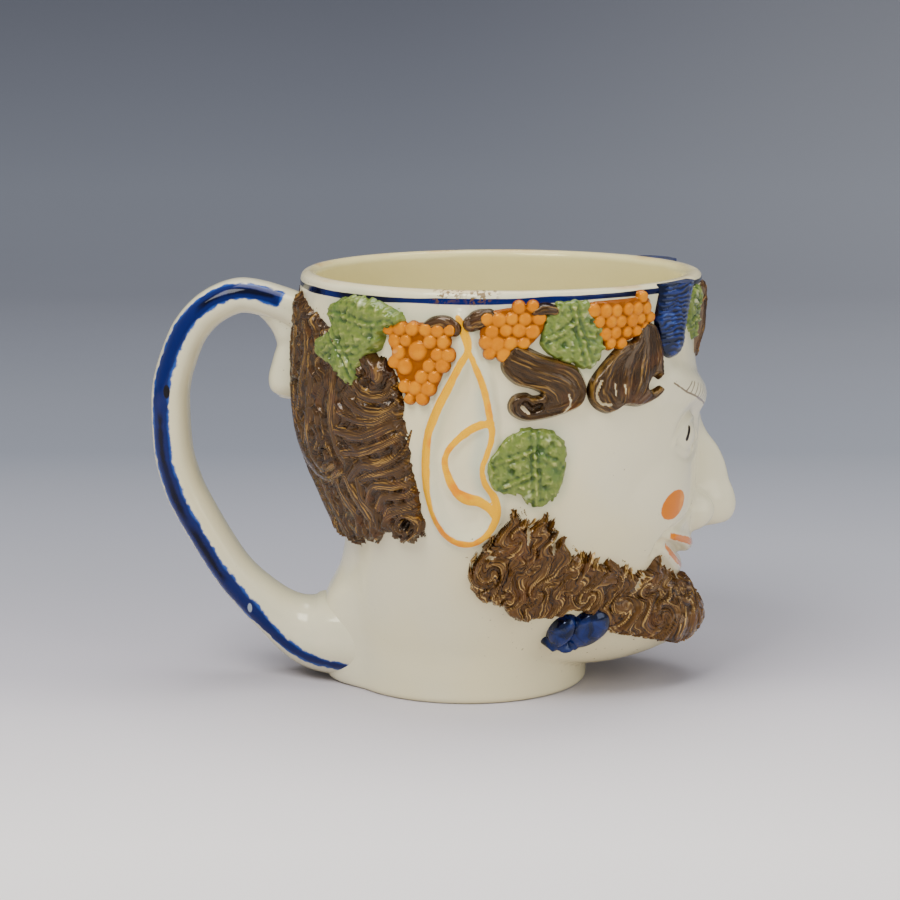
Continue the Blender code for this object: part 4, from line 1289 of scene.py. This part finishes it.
@dataclass
class BackHair:
    """The thick hair behind the ears and down the back of the head."""

    relief: float = 2.6
    outline: Line = ((186, 101.5), (177, 103.5), (169.5, 107.6), (165, 106.6), (158, 104.4), (150, 102.5),
                     (140, 99), (124, 95), (117, 86.5), (115.5, 78), (113, 70), (109, 58), (107, 50),
                     (108.4, 47.2), (113, 45.4), (117.5, 46), (121, 47.8), (124.5, 45.2),
                     (129, 43.8), (133, 44.6), (137, 42.6), (142, 41.4), (146, 42.2), (149.5, 44),
                     (154, 42.4),
                     (159, 41.4), (164, 43.2), (170, 41.8), (176, 43.4), (186, 41.8))
    locks: tuple[Lock, ...] = (
        Lock(((171.5, 84), (175.5, 74.5), (174, 68.5), (167, 64.5), (155, 61), (145, 60.5), (138, 63)),
             4.6, 6),
        Lock(((153, 92), (153, 84), (154, 77), (156, 71), (154.5, 65), (148, 62.6), (141, 65)), 4.6, 6),
        Lock(((141, 92), (140.5, 84), (141, 77), (139, 70), (136, 66)), 4.6, 6),
        Lock(((132, 87), (129, 84.5), (125, 84), (121, 85), (118.5, 88)), 4.2, 5),
        Lock(((136, 84), (130, 80.5), (123, 80), (118, 82.5), (116.5, 85.5)), 4.0, 5),
        Lock(((138, 79), (130, 77.5), (124, 78), (119.5, 80.2), (116, 81)), 3.6, 5),
        Lock(((139, 74), (130, 73.5), (123.5, 75.5), (119, 77.5), (116, 77.5), (115.5, 75.5)), 4.6, 6, 1.08),
        Lock(((136, 68.5), (129, 69.6), (122.5, 71.6), (118, 74), (116, 75.5)), 4.0, 5),
        Lock(((134, 62), (129, 66), (124, 66.6), (119.5, 68), (115.5, 70.5), (113.8, 76)), 4.2, 5, 1.05,
             0.8, 0.15),
        Lock(((129, 62), (124, 64), (118, 65.4), (114, 67.4), (112.5, 70.6)), 3.6, 5),
        Lock(((127.5, 56), (125.5, 60), (122.5, 61.6), (116.5, 62), (111.5, 64), (111, 67)), 3.6, 5, 1.05),
        Lock(((123, 54.6), (121, 58), (118, 58.8), (113, 59.6), (110, 62.6)), 3.2, 4),
        Lock(((120, 53.6), (118.5, 55.6), (115, 56.4), (111, 57.4), (108, 60)), 2.8, 4),
        Lock(((107, 57), (110, 56), (115, 55), (119.5, 53), (121, 49.8), (118, 47.4), (113, 46.6),
              (109.5, 49),
              (109, 51.5), (110.5, 53.5), (114, 54), (116, 52), (116, 49.8), (113.6, 49)), 3.0, 4, 1.12),
        Lock(((171, 58), (170, 53), (166, 49), (158, 46)), 4.0, 5),
        Lock(((152, 60), (152, 56), (150, 51), (146.5, 47.5), (143, 43)), 4.6, 6),
        Lock(((142, 61), (140, 57), (136, 53.5), (134, 50), (136, 43)), 4.6, 6),
        Lock(((136, 62), (133, 57.5), (129, 54), (126.5, 50.5), (128, 46)), 4.2, 5, 1.05),
        Lock(((131, 62), (129.5, 57), (125.5, 54), (124, 50.5), (124, 47.5)), 3.4, 4),
        Lock(((127, 97), (125, 93), (124.5, 89.5)), 6.0, 1, 1.35, 0.6, 0.7),
        Lock(((168, 101), (165, 95), (166, 88), (169, 83)), 4.6, 6),
        Lock(((157, 100), (155, 94), (157, 88), (160, 82), (163, 76)), 4.8, 6),
    )
    whorls: tuple[Centre, ...] = (((160, 88), 7.0, 2.6), ((172, 70), 7.0, -2.6), ((150, 62), 6.0, 2.4))
    holes: tuple[tuple[Point, float], ...] = (((147.5, 66.8), 1.7), ((113.2, 51.2), 1.5))

    def carve(self, spots: Array) -> Carving:
        """Carve the hair over the given spots."""
        carving = Carving(spots)
        carving.cover(self.outline, self.relief * 0.5, 1.6, 0.5)
        edge = carving.wave(self.relief * 0.5, self.relief * 0.95, 1.9, 0.55, 11.0, self.whorls)
        ends = 1 - ease(43, 52, spots[:, 1])
        carving.inside = carving.inside + 0.3 * ripple(spots, 4.6, 3.0) + (0.4 + 0.7 * ends) * edge
        for lock in self.locks:
            carving.lay(lock, self.relief, 0.16, lock.tip < 0.2, 0.72)
        for centre, size in self.holes:
            hole = dip(away_from(spots, centre), size)
            carving.lift = carving.lift * (1 - 0.85 * hole)
            carving.crest = carving.crest * (1 - ease(0, 0.5, hole)) - 0.8 * ease(0, 0.5, hole)
        return carving

    def build(self) -> bpy.types.Object:
        """Build the hair as one piece round the back of the head."""
        piece = ReliefPiece("back_hair", (105, 255, 39.5, 109), self.carve, 0.33)
        return piece.build(Side.NEAR)


@dataclass
class FrontCurls:
    """Two big curls on each side that fall from the wreath over the temple."""

    relief: float = 2.7
    temple_outline: Line = (
        (87.5, 99), (84, 98.2), (79, 96), (74.5, 94.6), (70, 92.8), (67.6, 89.5), (66.8, 86),
        (68.4, 82.6), (73.5, 80.6),
        (78, 79.6), (83, 79.2), (87, 81), (88, 83.6), (86.6, 86), (83.4, 86.6), (81.4, 85.8),
        (79.4, 86.2), (82, 87.4),
        (86.5, 88.6), (90, 91.6), (90.6, 94.6), (89, 97))
    temple: tuple[Lock, ...] = (
        Lock(((86, 97.6), (81, 95.4), (74.5, 93.4), (70, 91), (68, 87), (69, 83.5), (73, 81), (77, 80),
              (82, 79.3),
              (86, 81), (87, 84), (85, 85.8), (82, 86.2), (79, 85.2)), 3.6, 3, 1.0, 0.8, 0.6),
        Lock(((88, 95), (83, 93), (77.5, 91), (73, 89), (71, 86), (73, 83.6), (77, 82.6)), 3.8, 3, 0.97),
        Lock(((89.3, 93), (87, 90.6), (83, 89), (79, 88), (76, 86.4), (74.5, 84)), 3.4, 3, 0.93, 0.8, 0.5),
    )
    brow_outline: Line = (
        (49, 103), (45.5, 102.4), (43.4, 100), (42.2, 96), (42.4, 92), (43.4, 88.4), (44.4, 87.6), (46, 88.6),
        (48, 86.4), (47, 85.2), (44.2, 86.2), (43.6, 84.6), (46, 82.4), (51, 81.4), (55.5, 82), (58, 80.8),
        (61, 80.4), (64.6, 82.2), (66.6, 85.2), (66.6, 88.4), (64.4, 91.6), (60.4, 95.4), (56.4, 98),
        (52.6, 98.6),
        (51, 101.4))
    brow: tuple[Lock, ...] = (
        Lock(((46.3, 102), (45.0, 97), (44.6, 92), (45.6, 88), (48.5, 85), (52, 82.8)), 3.4, 3, 1.0, 0.4,
             0.7),
        Lock(((48.5, 101), (49.0, 96), (50, 92), (51, 87.5), (53.5, 83)), 3.8, 3, 1.0, 0.4, 0.8),
        Lock(((51, 98), (54.0, 94.5), (56, 91), (56.4, 87), (57, 83)), 3.8, 3, 0.97, 0.6, 0.8),
        Lock(((55.5, 96.6), (60.5, 93.6), (62.5, 90), (62.6, 86), (60.0, 82.6), (56, 83)), 4.0, 3, 1.0,
             0.6, 0.7),
        Lock(((60, 95), (64.0, 91.6), (65.6, 88), (65.0, 84), (61.5, 81.8)), 2.6, 2, 0.92, 0.6, 0.7),
    )

    def carve_temple(self, spots: Array) -> Carving:
        """Carve the curl beside the ear."""
        carving = self.carve(spots, self.temple, self.temple_outline)
        carving.slit(((83.4, 83.8), (81.6, 82.6), (79.6, 83.2)), 2.3, 1.5, False)
        carving.slit(((84.2, 83.2), (82.4, 81.6)), 0.9, 0.2)
        carving.slit(((72.3, 86), (71.6, 83.6), (73, 81.8)), 0.6, 0.25)
        return carving

    def carve_brow(self, spots: Array) -> Carving:
        """Carve the curl beside the horn."""
        carving = self.carve(spots, self.brow, self.brow_outline)
        carving.slit(((63.8, 89), (64.8, 86), (63.6, 83.6), (60.6, 82.8)), 0.85, 0.5)
        carving.slit(((59.9, 88), (59.4, 85.2)), 0.55, 0.25)
        carving.slit(((57, 87.6), (56.6, 85.4)), 0.55, 0.25)
        return carving

    def carve(self, spots: Array, locks: Sequence[Lock], outline: Line) -> Carving:
        """Carve a full curl of the given locks inside its outline."""
        carving = Carving(spots)
        carving.cover(outline, self.relief * 0.86, 2.6)
        for lock in locks:
            carving.lay(lock, self.relief, 0.2, False)
        edge = np.exp(-((carving.inside - 0.75) / 0.4) ** 2)
        carving.crest = np.where(edge > 0.05, np.maximum(carving.crest * 0.8, edge), carving.crest * 0.8)
        return carving

    def pieces(self) -> list[ReliefPiece]:
        """List the curls of one side."""
        return [ReliefPiece("temple_curl", (65, 92.5, 76.5, 100.5), self.carve_temple, 0.26, 2.4),
                ReliefPiece("brow_curl", (40.5, 68.5, 78.5, 104.5), self.carve_brow, 0.26, 2.4)]


@dataclass
class Beard:
    """The beard along the jaw and over the chin, of fine curls with a frayed edge."""

    relief: float = 2.5
    outline: Line = (
        (-8, 24.5), (4.5, 27), (13.2, 30.8), (21.2, 34), (26.8, 37.2), (29.6, 39), (31, 35.4),
        (35, 35.2), (39.2, 37),
        (43.2, 39), (47, 39.8), (50, 39.8), (53.2, 41.5), (56, 43.8), (57.5, 42.5), (60.8, 44), (63.2, 45.8),
        (65.8, 48.5), (67.2, 46.6), (67.8, 49.5), (69.8, 52.5), (72.2, 54.2), (74.8, 53.2), (76, 51.8),
        (78, 53.2),
        (79.8, 55.5), (81.8, 55.5), (83.2, 53), (84.8, 51), (87, 48.2), (89.2, 44.8), (91.2, 42), (91.8, 39),
        (91.8, 36.2), (90.2, 33), (88.5, 31.2), (85.5, 29.8), (82, 29), (78.5, 28), (75.2, 25), (72, 24.2),
        (67.2, 23.5), (64.2, 24.5), (58.5, 24.2), (54.2, 25.2), (50.5, 26), (45.2, 23.8), (39, 20),
        (34.2, 18),
        (30.5, 17.2), (26, 16), (21.8, 14.8), (13.2, 12.5), (5, 11.5), (-8, 11))
    whorls: tuple[Centre, ...] = (
        ((85, 39), 8.0, 3.0), ((75, 41), 6.0, -2.6), ((67, 33), 6.0, 3.0), ((58, 37), 5.5, -2.6),
        ((50, 30.5), 6.0, 2.8),
        ((42, 33), 5.0, -2.6), ((36, 26), 6.0, 3.0), ((28, 31), 5.5, -2.6), ((23, 21), 6.0, 2.8),
        ((13, 25), 6.0, -2.8),
        ((5, 17), 5.5, 2.6), ((80, 49), 5.0, 2.4), ((77, 31), 5.0, -2.6))
    partings: tuple[Line, ...] = (((76.2, 50.5), (75.4, 47.6)), ((67.2, 47.4), (67, 44.6)),
                                  ((87, 43.4), (84.6, 43.8)), ((32, 34.6), (33, 31.4)))

    def carve(self, spots: Array) -> Carving:
        """Carve the beard over the given spots."""
        carving = Carving(spots)
        carving.inside = depth_inside(spots, self.outline)
        edge = carving.wave(self.relief * 0.58, self.relief, 1.3, 0.85, 4.0, self.whorls)
        upper = ease(30, 44, spots[:, 1] + 0.16 * (60 - spots[:, 0]))
        carving.inside = carving.inside + edge * (0.55 + 0.75 * upper) - 0.1
        for parting in self.partings:
            carving.slit(parting, 1.0, 0.7)
        return carving

    def build(self) -> bpy.types.Object:
        """Build the beard as one piece round the chin."""
        piece = ReliefPiece("beard", (-94, 94, 8.5, 58), self.carve, 0.3)
        return piece.build(Side.NEAR)


@dataclass
class GrapeBunch:
    """A bunch of grapes, round berries packed inside an outline."""

    name: str
    outline: Line
    seed: int
    extra: tuple[Triple, ...] = ()
    pitch: Point = (3.3, 2.95)

    def berries(self) -> list[Triple]:
        """List the berries as place across, place up and radius, in millimetres."""
        rng = np.random.default_rng(self.seed)
        corners = on_wall(self.outline)
        low = corners.min(axis=0)
        high = corners.max(axis=0)
        made = [(degrees * DEGREE, up, radius) for degrees, up, radius in self.extra]
        row = 0
        up = low[1] + 1.3
        while up < high[1] + 0.5:
            across = low[0] + 1.2 + self.pitch[0] / 2 * (row % 2)
            while across < high[0] + 0.5:
                radius = rng.uniform(1.65, 2.1)
                spot = np.array([[across + rng.uniform(-0.3, 0.3), up + rng.uniform(-0.3, 0.3)]])
                free = all(math.hypot(spot[0, 0] - x, spot[0, 1] - y) > r + 0.8 for x, y, r in made
                           if r > 2.2)
                if free and depth_inside(spot, self.outline)[0] > 0.9:
                    made.append((float(spot[0, 0]), float(spot[0, 1]), radius))
                across += self.pitch[0]
            up += self.pitch[1]
            row += 1
        return made

    def carve(self, spots: Array) -> Carving:
        """Carve the bunch over the given spots."""
        carving = Carving(spots)
        carving.crest = np.zeros(len(spots))
        for across, up, radius in self.berries():
            gap = np.hypot(spots[:, 0] - across, spots[:, 1] - up)
            dome = np.sqrt(np.clip(1 - (gap / radius) ** 2.8, 0, None))
            rise = np.where(gap < radius, 0.75 + dome * 1.15, 0)
            higher = rise > carving.lift
            carving.lift = np.where(higher, rise, carving.lift)
            carving.crest = np.where(higher, dome, carving.crest)
            carving.inside = np.maximum(carving.inside, radius - gap)
        bed = depth_inside(spots, self.outline) - 1.3
        carving.lift = np.where((bed > 0) & (carving.lift < 1.0), 1.0, carving.lift)
        carving.inside = np.maximum(carving.inside, bed)
        return carving

    def piece(self) -> ReliefPiece:
        """Describe the bunch as a piece of relief."""
        return ReliefPiece(self.name, window_round(self.outline, 1.5, 111), self.carve, 0.27, 3.0)


@dataclass
class VineLeaf:
    """A crinkled vine leaf with its veins."""

    name: str
    outline: Line
    veins: tuple[Line, ...]
    seed: float
    relief: float = 1.7
    pits: tuple[Point, ...] = ()

    def carve(self, spots: Array) -> Carving:
        """Carve the leaf over the given spots."""
        carving = Carving(spots)
        depth = depth_inside(spots, self.outline)
        depth = depth + 0.45 * ripple(spots, 3.4, self.seed) + 0.2
        crinkle = ripple(spots, 3.1, self.seed + 2) * 0.6 + ripple(spots, 1.7, self.seed + 5) * 0.4
        rolled = self.relief * (0.66 + 0.34 * np.sqrt(ease(0, 3.0, depth)))
        lift = rolled + 0.42 * crinkle
        crest = 0.48 + 0.42 * crinkle
        for vein in self.veins:
            gap = nearest(spots, smooth_line(vein, 5))[0]
            rib = 0.22 * np.exp(-(gap / 0.36) ** 2)
            groove = np.exp(-((gap - 0.95) / 0.42) ** 2)
            lift = lift + rib - 0.3 * groove
            crest = crest + rib - 0.34 * groove
        for pit in self.pits:
            gap = away_from(spots, pit)
            lift = lift - 0.9 * np.exp(-(gap / 0.7) ** 2)
            crest = crest - 0.8 * np.exp(-(gap / 0.8) ** 2)
        carving.lift = lift
        carving.inside = depth
        carving.crest = np.clip(crest, 0, 1)
        return carving

    def piece(self) -> ReliefPiece:
        """Describe the leaf as a piece of relief."""
        return ReliefPiece(self.name, window_round(self.outline, 1.5, 111), self.carve, 0.28, 2.2)


@dataclass
class Stem:
    """A short thick stalk of the wreath."""

    name: str
    path: Line
    width: float
    height: float = 2.0

    def carve(self, spots: Array) -> Carving:
        """Carve the stalk over the given spots."""
        carving = Carving(spots)
        carving.lay(Lock(self.path, self.width, 4, 1.0, 0.85, 0.9), self.height, 0.16)
        return carving

    def piece(self) -> ReliefPiece:
        """Describe the stalk as a piece of relief."""
        return ReliefPiece(self.name, window_round(self.path, 3, 111.5), self.carve, 0.26, 2.5)


@dataclass
class Horn:
    """A blunt blue horn, ribbed across, that reaches the rim."""

    path: Line = ((36.6, 98.2), (36.2, 102), (35.4, 106.5), (34.5, 111.2))
    half_width: float = 7.4
    relief: float = 3.5
    ribs: float = 1.25

    def carve(self, spots: Array) -> Carving:
        """Carve the horn over the given spots."""
        carving = Carving(spots)
        line = smooth_line(self.path, 6)
        gap, along, side = nearest(spots, line)
        half = self.half_width * (0.8 + 0.2 * ease(0, 0.35, along))
        crown = np.sqrt(np.clip(1 - (gap / half) ** 2, 0, None))
        length = float(np.sum(np.linalg.norm(np.diff(line, axis=0), axis=1)))
        wave = spots[:, 1] + 0.1 * gap ** 1.2 + 0.7 * ripple(spots, 9, 3) + 0.3 * ripple(spots, 3.5, 6)
        rib = hill(wave * 2 * math.pi / self.ribs)
        carving.lift = self.relief * crown - 0.17 * rib * np.clip(crown * 2, 0, 1)
        carving.inside = half - gap
        carving.crest = (1 - rib) * crown
        carving.flow = np.stack([side * gap, along * length, 0 * gap], -1)
        return carving

    def piece(self) -> ReliefPiece:
        """Describe the horn as a piece of relief."""
        return ReliefPiece("horn", (26.5, 46.5, 88, 111.9), self.carve, 0.28, 3.0)


@dataclass
class Forelock:
    """The tuft over the middle of the forehead."""

    relief: float = 2.6
    locks: tuple[Lock, ...] = (
        Lock(((3, 108), (3.6, 103), (5.6, 98), (7.8, 94), (8.6, 90.6)), 3.8, 3, 1.0, 0.6, 0.4),
        Lock(((6.5, 107.6), (8.6, 103), (10.6, 98.6), (12.6, 94.6), (14.2, 91.4)), 3.2, 3, 0.92, 0.6, 0.35),
        Lock(((0, 108.4), (0, 103), (1.4, 97), (3.4, 92.4), (2.6, 89)), 3.4, 3, 0.9, 0.6, 0.4),
        Lock(((10.4, 109), (11.6, 106), (12, 102.6)), 3.0, 2, 0.8, 0.6, 0.4),
    )

    def carve(self, spots: Array) -> Carving:
        """Carve the tuft over the given spots."""
        carving = Carving(spots)
        for lock in self.locks:
            carving.lay(lock, self.relief)
        return carving

    def build(self) -> bpy.types.Object:
        """Build the tuft as one piece over the middle of the face."""
        return ReliefPiece("forelock", (-18, 18, 85, 111), self.carve, 0.26).build(Side.NEAR)


@dataclass
class BeardKnot:
    """The two round lobes of blue under the jaw."""

    relief: float = 4.3
    lobes: tuple[Centre, ...] = (
        ((52.6, 20.2), 4.5, 4.7), ((44.2, 20.8), 6.0, 5.7), ((54.8, 17.0), 3.2, 1.5),
        ((49.2, 16.6), 6.0, 1.7))

    def carve(self, spots: Array) -> Carving:
        """Carve the knot over the given spots."""
        carving = Carving(spots)
        for (degrees, up), wide, tall in self.lobes:
            t = np.hypot((spots[:, 0] - degrees * DEGREE) / wide, (spots[:, 1] - up) / tall)
            dome = np.sqrt(np.clip(1 - t ** 2, 0, None))
            rise = self.relief * dome
            higher = rise > carving.lift
            carving.lift = np.where(higher, rise, carving.lift)
            carving.crest = np.where(higher, dome * 0.45, carving.crest)
            carving.inside = np.maximum(carving.inside, (1 - t) * min(wide, tall))
        return carving

    def piece(self) -> ReliefPiece:
        """Describe the knot as a piece of relief."""
        return ReliefPiece("beard_knot", (33, 63, 11, 29), self.carve, 0.3, 3.5)


LEAVES: tuple[VineLeaf, ...] = (
    VineLeaf("back_leaf",
             ((145, 105.5), (138, 108.6), (130, 109), (123, 107.5), (118, 105.5), (118, 103), (123, 101),
              (124, 97.4),
              (128, 94.2), (130, 91), (132, 86.2), (137, 87), (142, 90.2), (147.5, 92), (150, 94.5),
              (149, 97.2),
              (143, 100), (143.5, 103)),
             (((145, 103.8), (136, 103.8), (128, 102.4), (121, 103)),
              ((143, 101.5), (139, 97), (134, 92), (131.5, 88)),
              ((136, 103.6), (133, 106.5)), ((139, 97), (144, 94)), ((137, 95), (131, 95.5))),
             1.0, 3.1, ((126.5, 99.5), (137.5, 98), (141, 93))),
    VineLeaf("temple_leaf",
             ((76, 109), (68, 109.2), (66, 105.5), (63, 102.5), (62.5, 97), (65, 92.8), (67, 92), (71, 93.6),
              (76, 95), (80.5, 98.5), (80, 101), (79, 106)),
             (((72, 109), (70.5, 103), (68.5, 98), (67, 93.5)), ((71, 104), (76, 101), (79, 100)),
              ((70, 101), (65.5, 100))),
             4.0, 1.7, ((74, 98.5), (66.5, 104))),
    VineLeaf("cheek_leaf",
             ((82, 77.6), (76, 76.6), (71.5, 73.4), (70, 67), (70.3, 60.5), (74, 56.8), (78, 57.6), (81, 60),
              (86.5, 61), (90, 64.3), (91, 68), (90, 71), (87, 75)),
             (((80, 76.5), (79, 70), (77.5, 64), (76, 58)), ((79.5, 72), (85, 70), (89, 69)),
              ((79, 70.5), (74, 69), (71.5, 67)), ((78, 66), (83, 64), (86, 62.5))),
             7.0, 1.8, ((75, 73.5), (74.5, 62.5), (84.5, 66.5), (77.8, 72))),
    VineLeaf("front_leaf",
             ((19, 109.5), (24.4, 108), (25.6, 104.6), (24, 102), (25, 99.6), (22, 97.6), (19, 95.4),
              (16.4, 97.4),
              (13.6, 99.4), (14.4, 102.4), (13, 105), (14.4, 108)),
             (((19, 108.6), (19, 102), (19, 96.6)), ((19, 104.5), (23.5, 106.5)),
              ((19, 104.5), (14.8, 106.5)),
              ((19, 101.5), (23.4, 100)), ((19, 101.5), (15, 100))),
             9.0, 1.7),
)
BUNCHES: tuple[GrapeBunch, ...] = (
    GrapeBunch("back_grapes", ((124, 102), (119, 104.5), (106, 105), (103, 102), (103.5, 95), (106, 87),
                               (111, 83),
                               (116, 84), (121, 91)), 3, ((113, 96.6, 2.7), (116.4, 92.4, 2.3))),
    GrapeBunch("temple_grapes", ((96.5, 108), (88, 109.3), (80, 109), (78, 103), (82, 97.5), (88, 95),
                                 (95, 95.5),
                                 (98, 101)), 5),
    GrapeBunch("brow_grapes", ((67, 110.2), (56, 110.4), (46.5, 110), (45.5, 103), (50, 98.5),
                               (58, 96.5), (64.5, 98),
                               (67, 103)), 8),
)
STEMS: tuple[Stem, ...] = (
    Stem("back_stem", ((111, 102), (108.4, 103.2), (105.6, 103.4), (103.4, 102.6)), 4.8, 1.5),
    Stem("ear_stem", ((98.6, 104), (96.6, 105), (94.4, 105.4)), 5.2, 1.7),
    Stem("leaf_stem", ((82, 106.8), (79.4, 107.4), (77, 107)), 3.6, 2.1),
)
POOLING_OUTLINES: tuple[Line, ...] = tuple(leaf.outline for leaf in LEAVES) + tuple(
    bunch.outline for bunch in BUNCHES) + (EAR_RIM,)


@dataclass
class Studio:
    """The pale floor and backdrop, the soft lights and the camera."""

    distance: float = 0.709
    camera_height: float = 0.1875
    camera_x: float = -0.0044
    tilt: float = math.radians(10.0)
    lens: float = 105.9

    def sweep(self) -> bpy.types.Object:
        """Build the floor that curves up into the backdrop."""
        sheet = bmesh.new()
        profile = [(-1.6, 0.0), (0.9, 0.0)]
        profile += [(0.9 + 0.9 * math.sin(turn), 0.9 - 0.9 * math.cos(turn)) for turn in np.linspace(0.1,
                                                                                                     1.57, 16)]
        profile.append((1.8, 3.2))
        line = [sheet.verts.new((-3.0, y, z)) for y, z in profile]
        edges = [sheet.edges.new(pair) for pair in zip(line[:-1], line[1:])]
        drawn_out = bmesh.ops.extrude_edge_only(sheet, edges=edges)
        moved = [item for item in drawn_out["geom"] if isinstance(item, bmesh.types.BMVert)]
        bmesh.ops.translate(sheet, verts=moved, vec=(6.0, 0, 0))
        bmesh.ops.recalc_face_normals(sheet, faces=sheet.faces)
        sweep = as_object("studio_sweep", sheet)
        sweep.data.materials.append(self.paper_with_painted_light())
        return sweep

    @staticmethod
    def paper_with_painted_light() -> bpy.types.Material:
        """Make the backdrop paper with painted light: pale on the floor in front and darker towards the back and
        up the backdrop, standing in for the falloff of the lamps' light, and lighter to the right.
        """
        glaze = Glaze("backdrop_with_painted_light")
        parts = glaze.split(glaze.position)
        depth = glaze.plus(parts["Y"], parts["Z"])
        # Painted light: the ramp darkens the paper with distance from the front of the floor, in place of the
        # lamps' falloff.
        base = glaze.ramp(glaze.span(depth, -0.2, 2.0, soft=False), 2.2, (
            (0.05, (238, 231, 226)), (0.156, (205, 199, 201)), (0.196, (183, 178, 183)),
            (0.327, (158, 157, 163)),
            (0.55, (124, 127, 135)), (1.07, (117, 119, 127)), (1.42, (115, 118, 126)), (2.17, (71, 72, 82))))
        # Painted light: the right side is painted lighter.
        base = glaze.mix(glaze.span(parts["X"], -0.1, 0.5, 0.0, 0.1), base, WHITE)
        glaze.feed(glaze.shader.inputs["Base Color"], base)
        glaze.feed(glaze.shader.inputs["Roughness"], glaze.span(glaze.noise(8, 2), 0.3, 0.7, 0.75, 0.9))
        glaze.shader.inputs["Specular IOR Level"].default_value = 0.15
        return glaze.material

    @staticmethod
    def lamp(name: str, place: Point, height: float, size: float, power: float, aim: float = 0.06) -> None:
        """Hang a soft square lamp that looks at the mug.

        Args:
            name: its name.
            place: its x and y in metres.
            height: its height in metres.
            size: the side of its square in metres.
            power: its power in watts.
            aim: the height that it looks at.
        """
        data = bpy.data.lights.new(name, "AREA")
        data.size = size
        data.energy = power
        lamp = bpy.data.objects.new(name, data)
        lamp.location = (*place, height)
        lamp.rotation_euler = (Vector((0, 0, aim)) - lamp.location).to_track_quat("-Z", "Y").to_euler()
        bpy.context.scene.collection.objects.link(lamp)

    def build(self) -> None:
        """Set up floor, light and camera."""
        sweep = self.sweep()
        bpy.context.scene.collection.objects.link(sweep)
        self.lamp("key_lamp", (-0.55, -0.75), 1.25, 0.7, 21.5)
        self.lamp("fill_lamp", (1.1, -0.8), 0.7, 1.0, 8.2)
        self.lamp("top_lamp", (0.1, 0.25), 1.4, 0.9, 12.5)
        world = bpy.data.worlds.new("studio_world")
        world.use_nodes = True
        light = world.node_tree.nodes["Background"].inputs
        light["Color"].default_value = (0.80, 0.84, 0.92, 1)
        light["Strength"].default_value = 0.64
        bpy.context.scene.world = world
        data = bpy.data.cameras.new("camera")
        data.lens = self.lens
        data.sensor_width = 36
        data.clip_end = 20
        camera = bpy.data.objects.new("camera", data)
        camera.location = (self.camera_x, -self.distance, self.camera_height)
        camera.rotation_euler = (math.pi / 2 - self.tilt, 0, 0)
        bpy.context.scene.collection.objects.link(camera)
        bpy.context.scene.camera = camera


def main() -> None:
    """Build the mug and its studio."""
    logging.basicConfig(level=logging.INFO)
    Studio().build()
    hair = HairGlaze().make()
    green = LeafGlaze().make()
    orange = FruitGlaze().make()
    cobalt = CobaltGlaze().make()
    handle_glaze = HandleGlaze().make()
    beard_glaze = HairGlaze("beard_glaze", (34, 21, 9), (92, 62, 26), (206, 168, 98), 0.9, 1.5).make()
    curl_glaze = HairGlaze("curl_glaze", brown=(58, 41, 23), golden=0.42).make()
    wear(Vessel().build(), CreamGlaze().make())
    handle = StrapHandle()
    wear(handle.build(), handle_glaze)
    wear(handle.build_drop(), handle_glaze)
    wear(BackHair().build(), hair)
    wear(Beard().build(), beard_glaze)
    wear(Forelock().build(), hair)
    pairs = [(curl, curl_glaze) for curl in FrontCurls().pieces()]
    pairs += [(leaf.piece(), green) for leaf in LEAVES]
    pairs += [(bunch.piece(), orange) for bunch in BUNCHES]
    pairs += [(stem.piece(), curl_glaze) for stem in STEMS]
    pairs += [(Horn().piece(), cobalt), (BeardKnot().piece(), cobalt)]
    for piece, glaze in pairs:
        for side in Side:
            wear(piece.build(side), glaze)


if __name__ == "__main__":
    main()
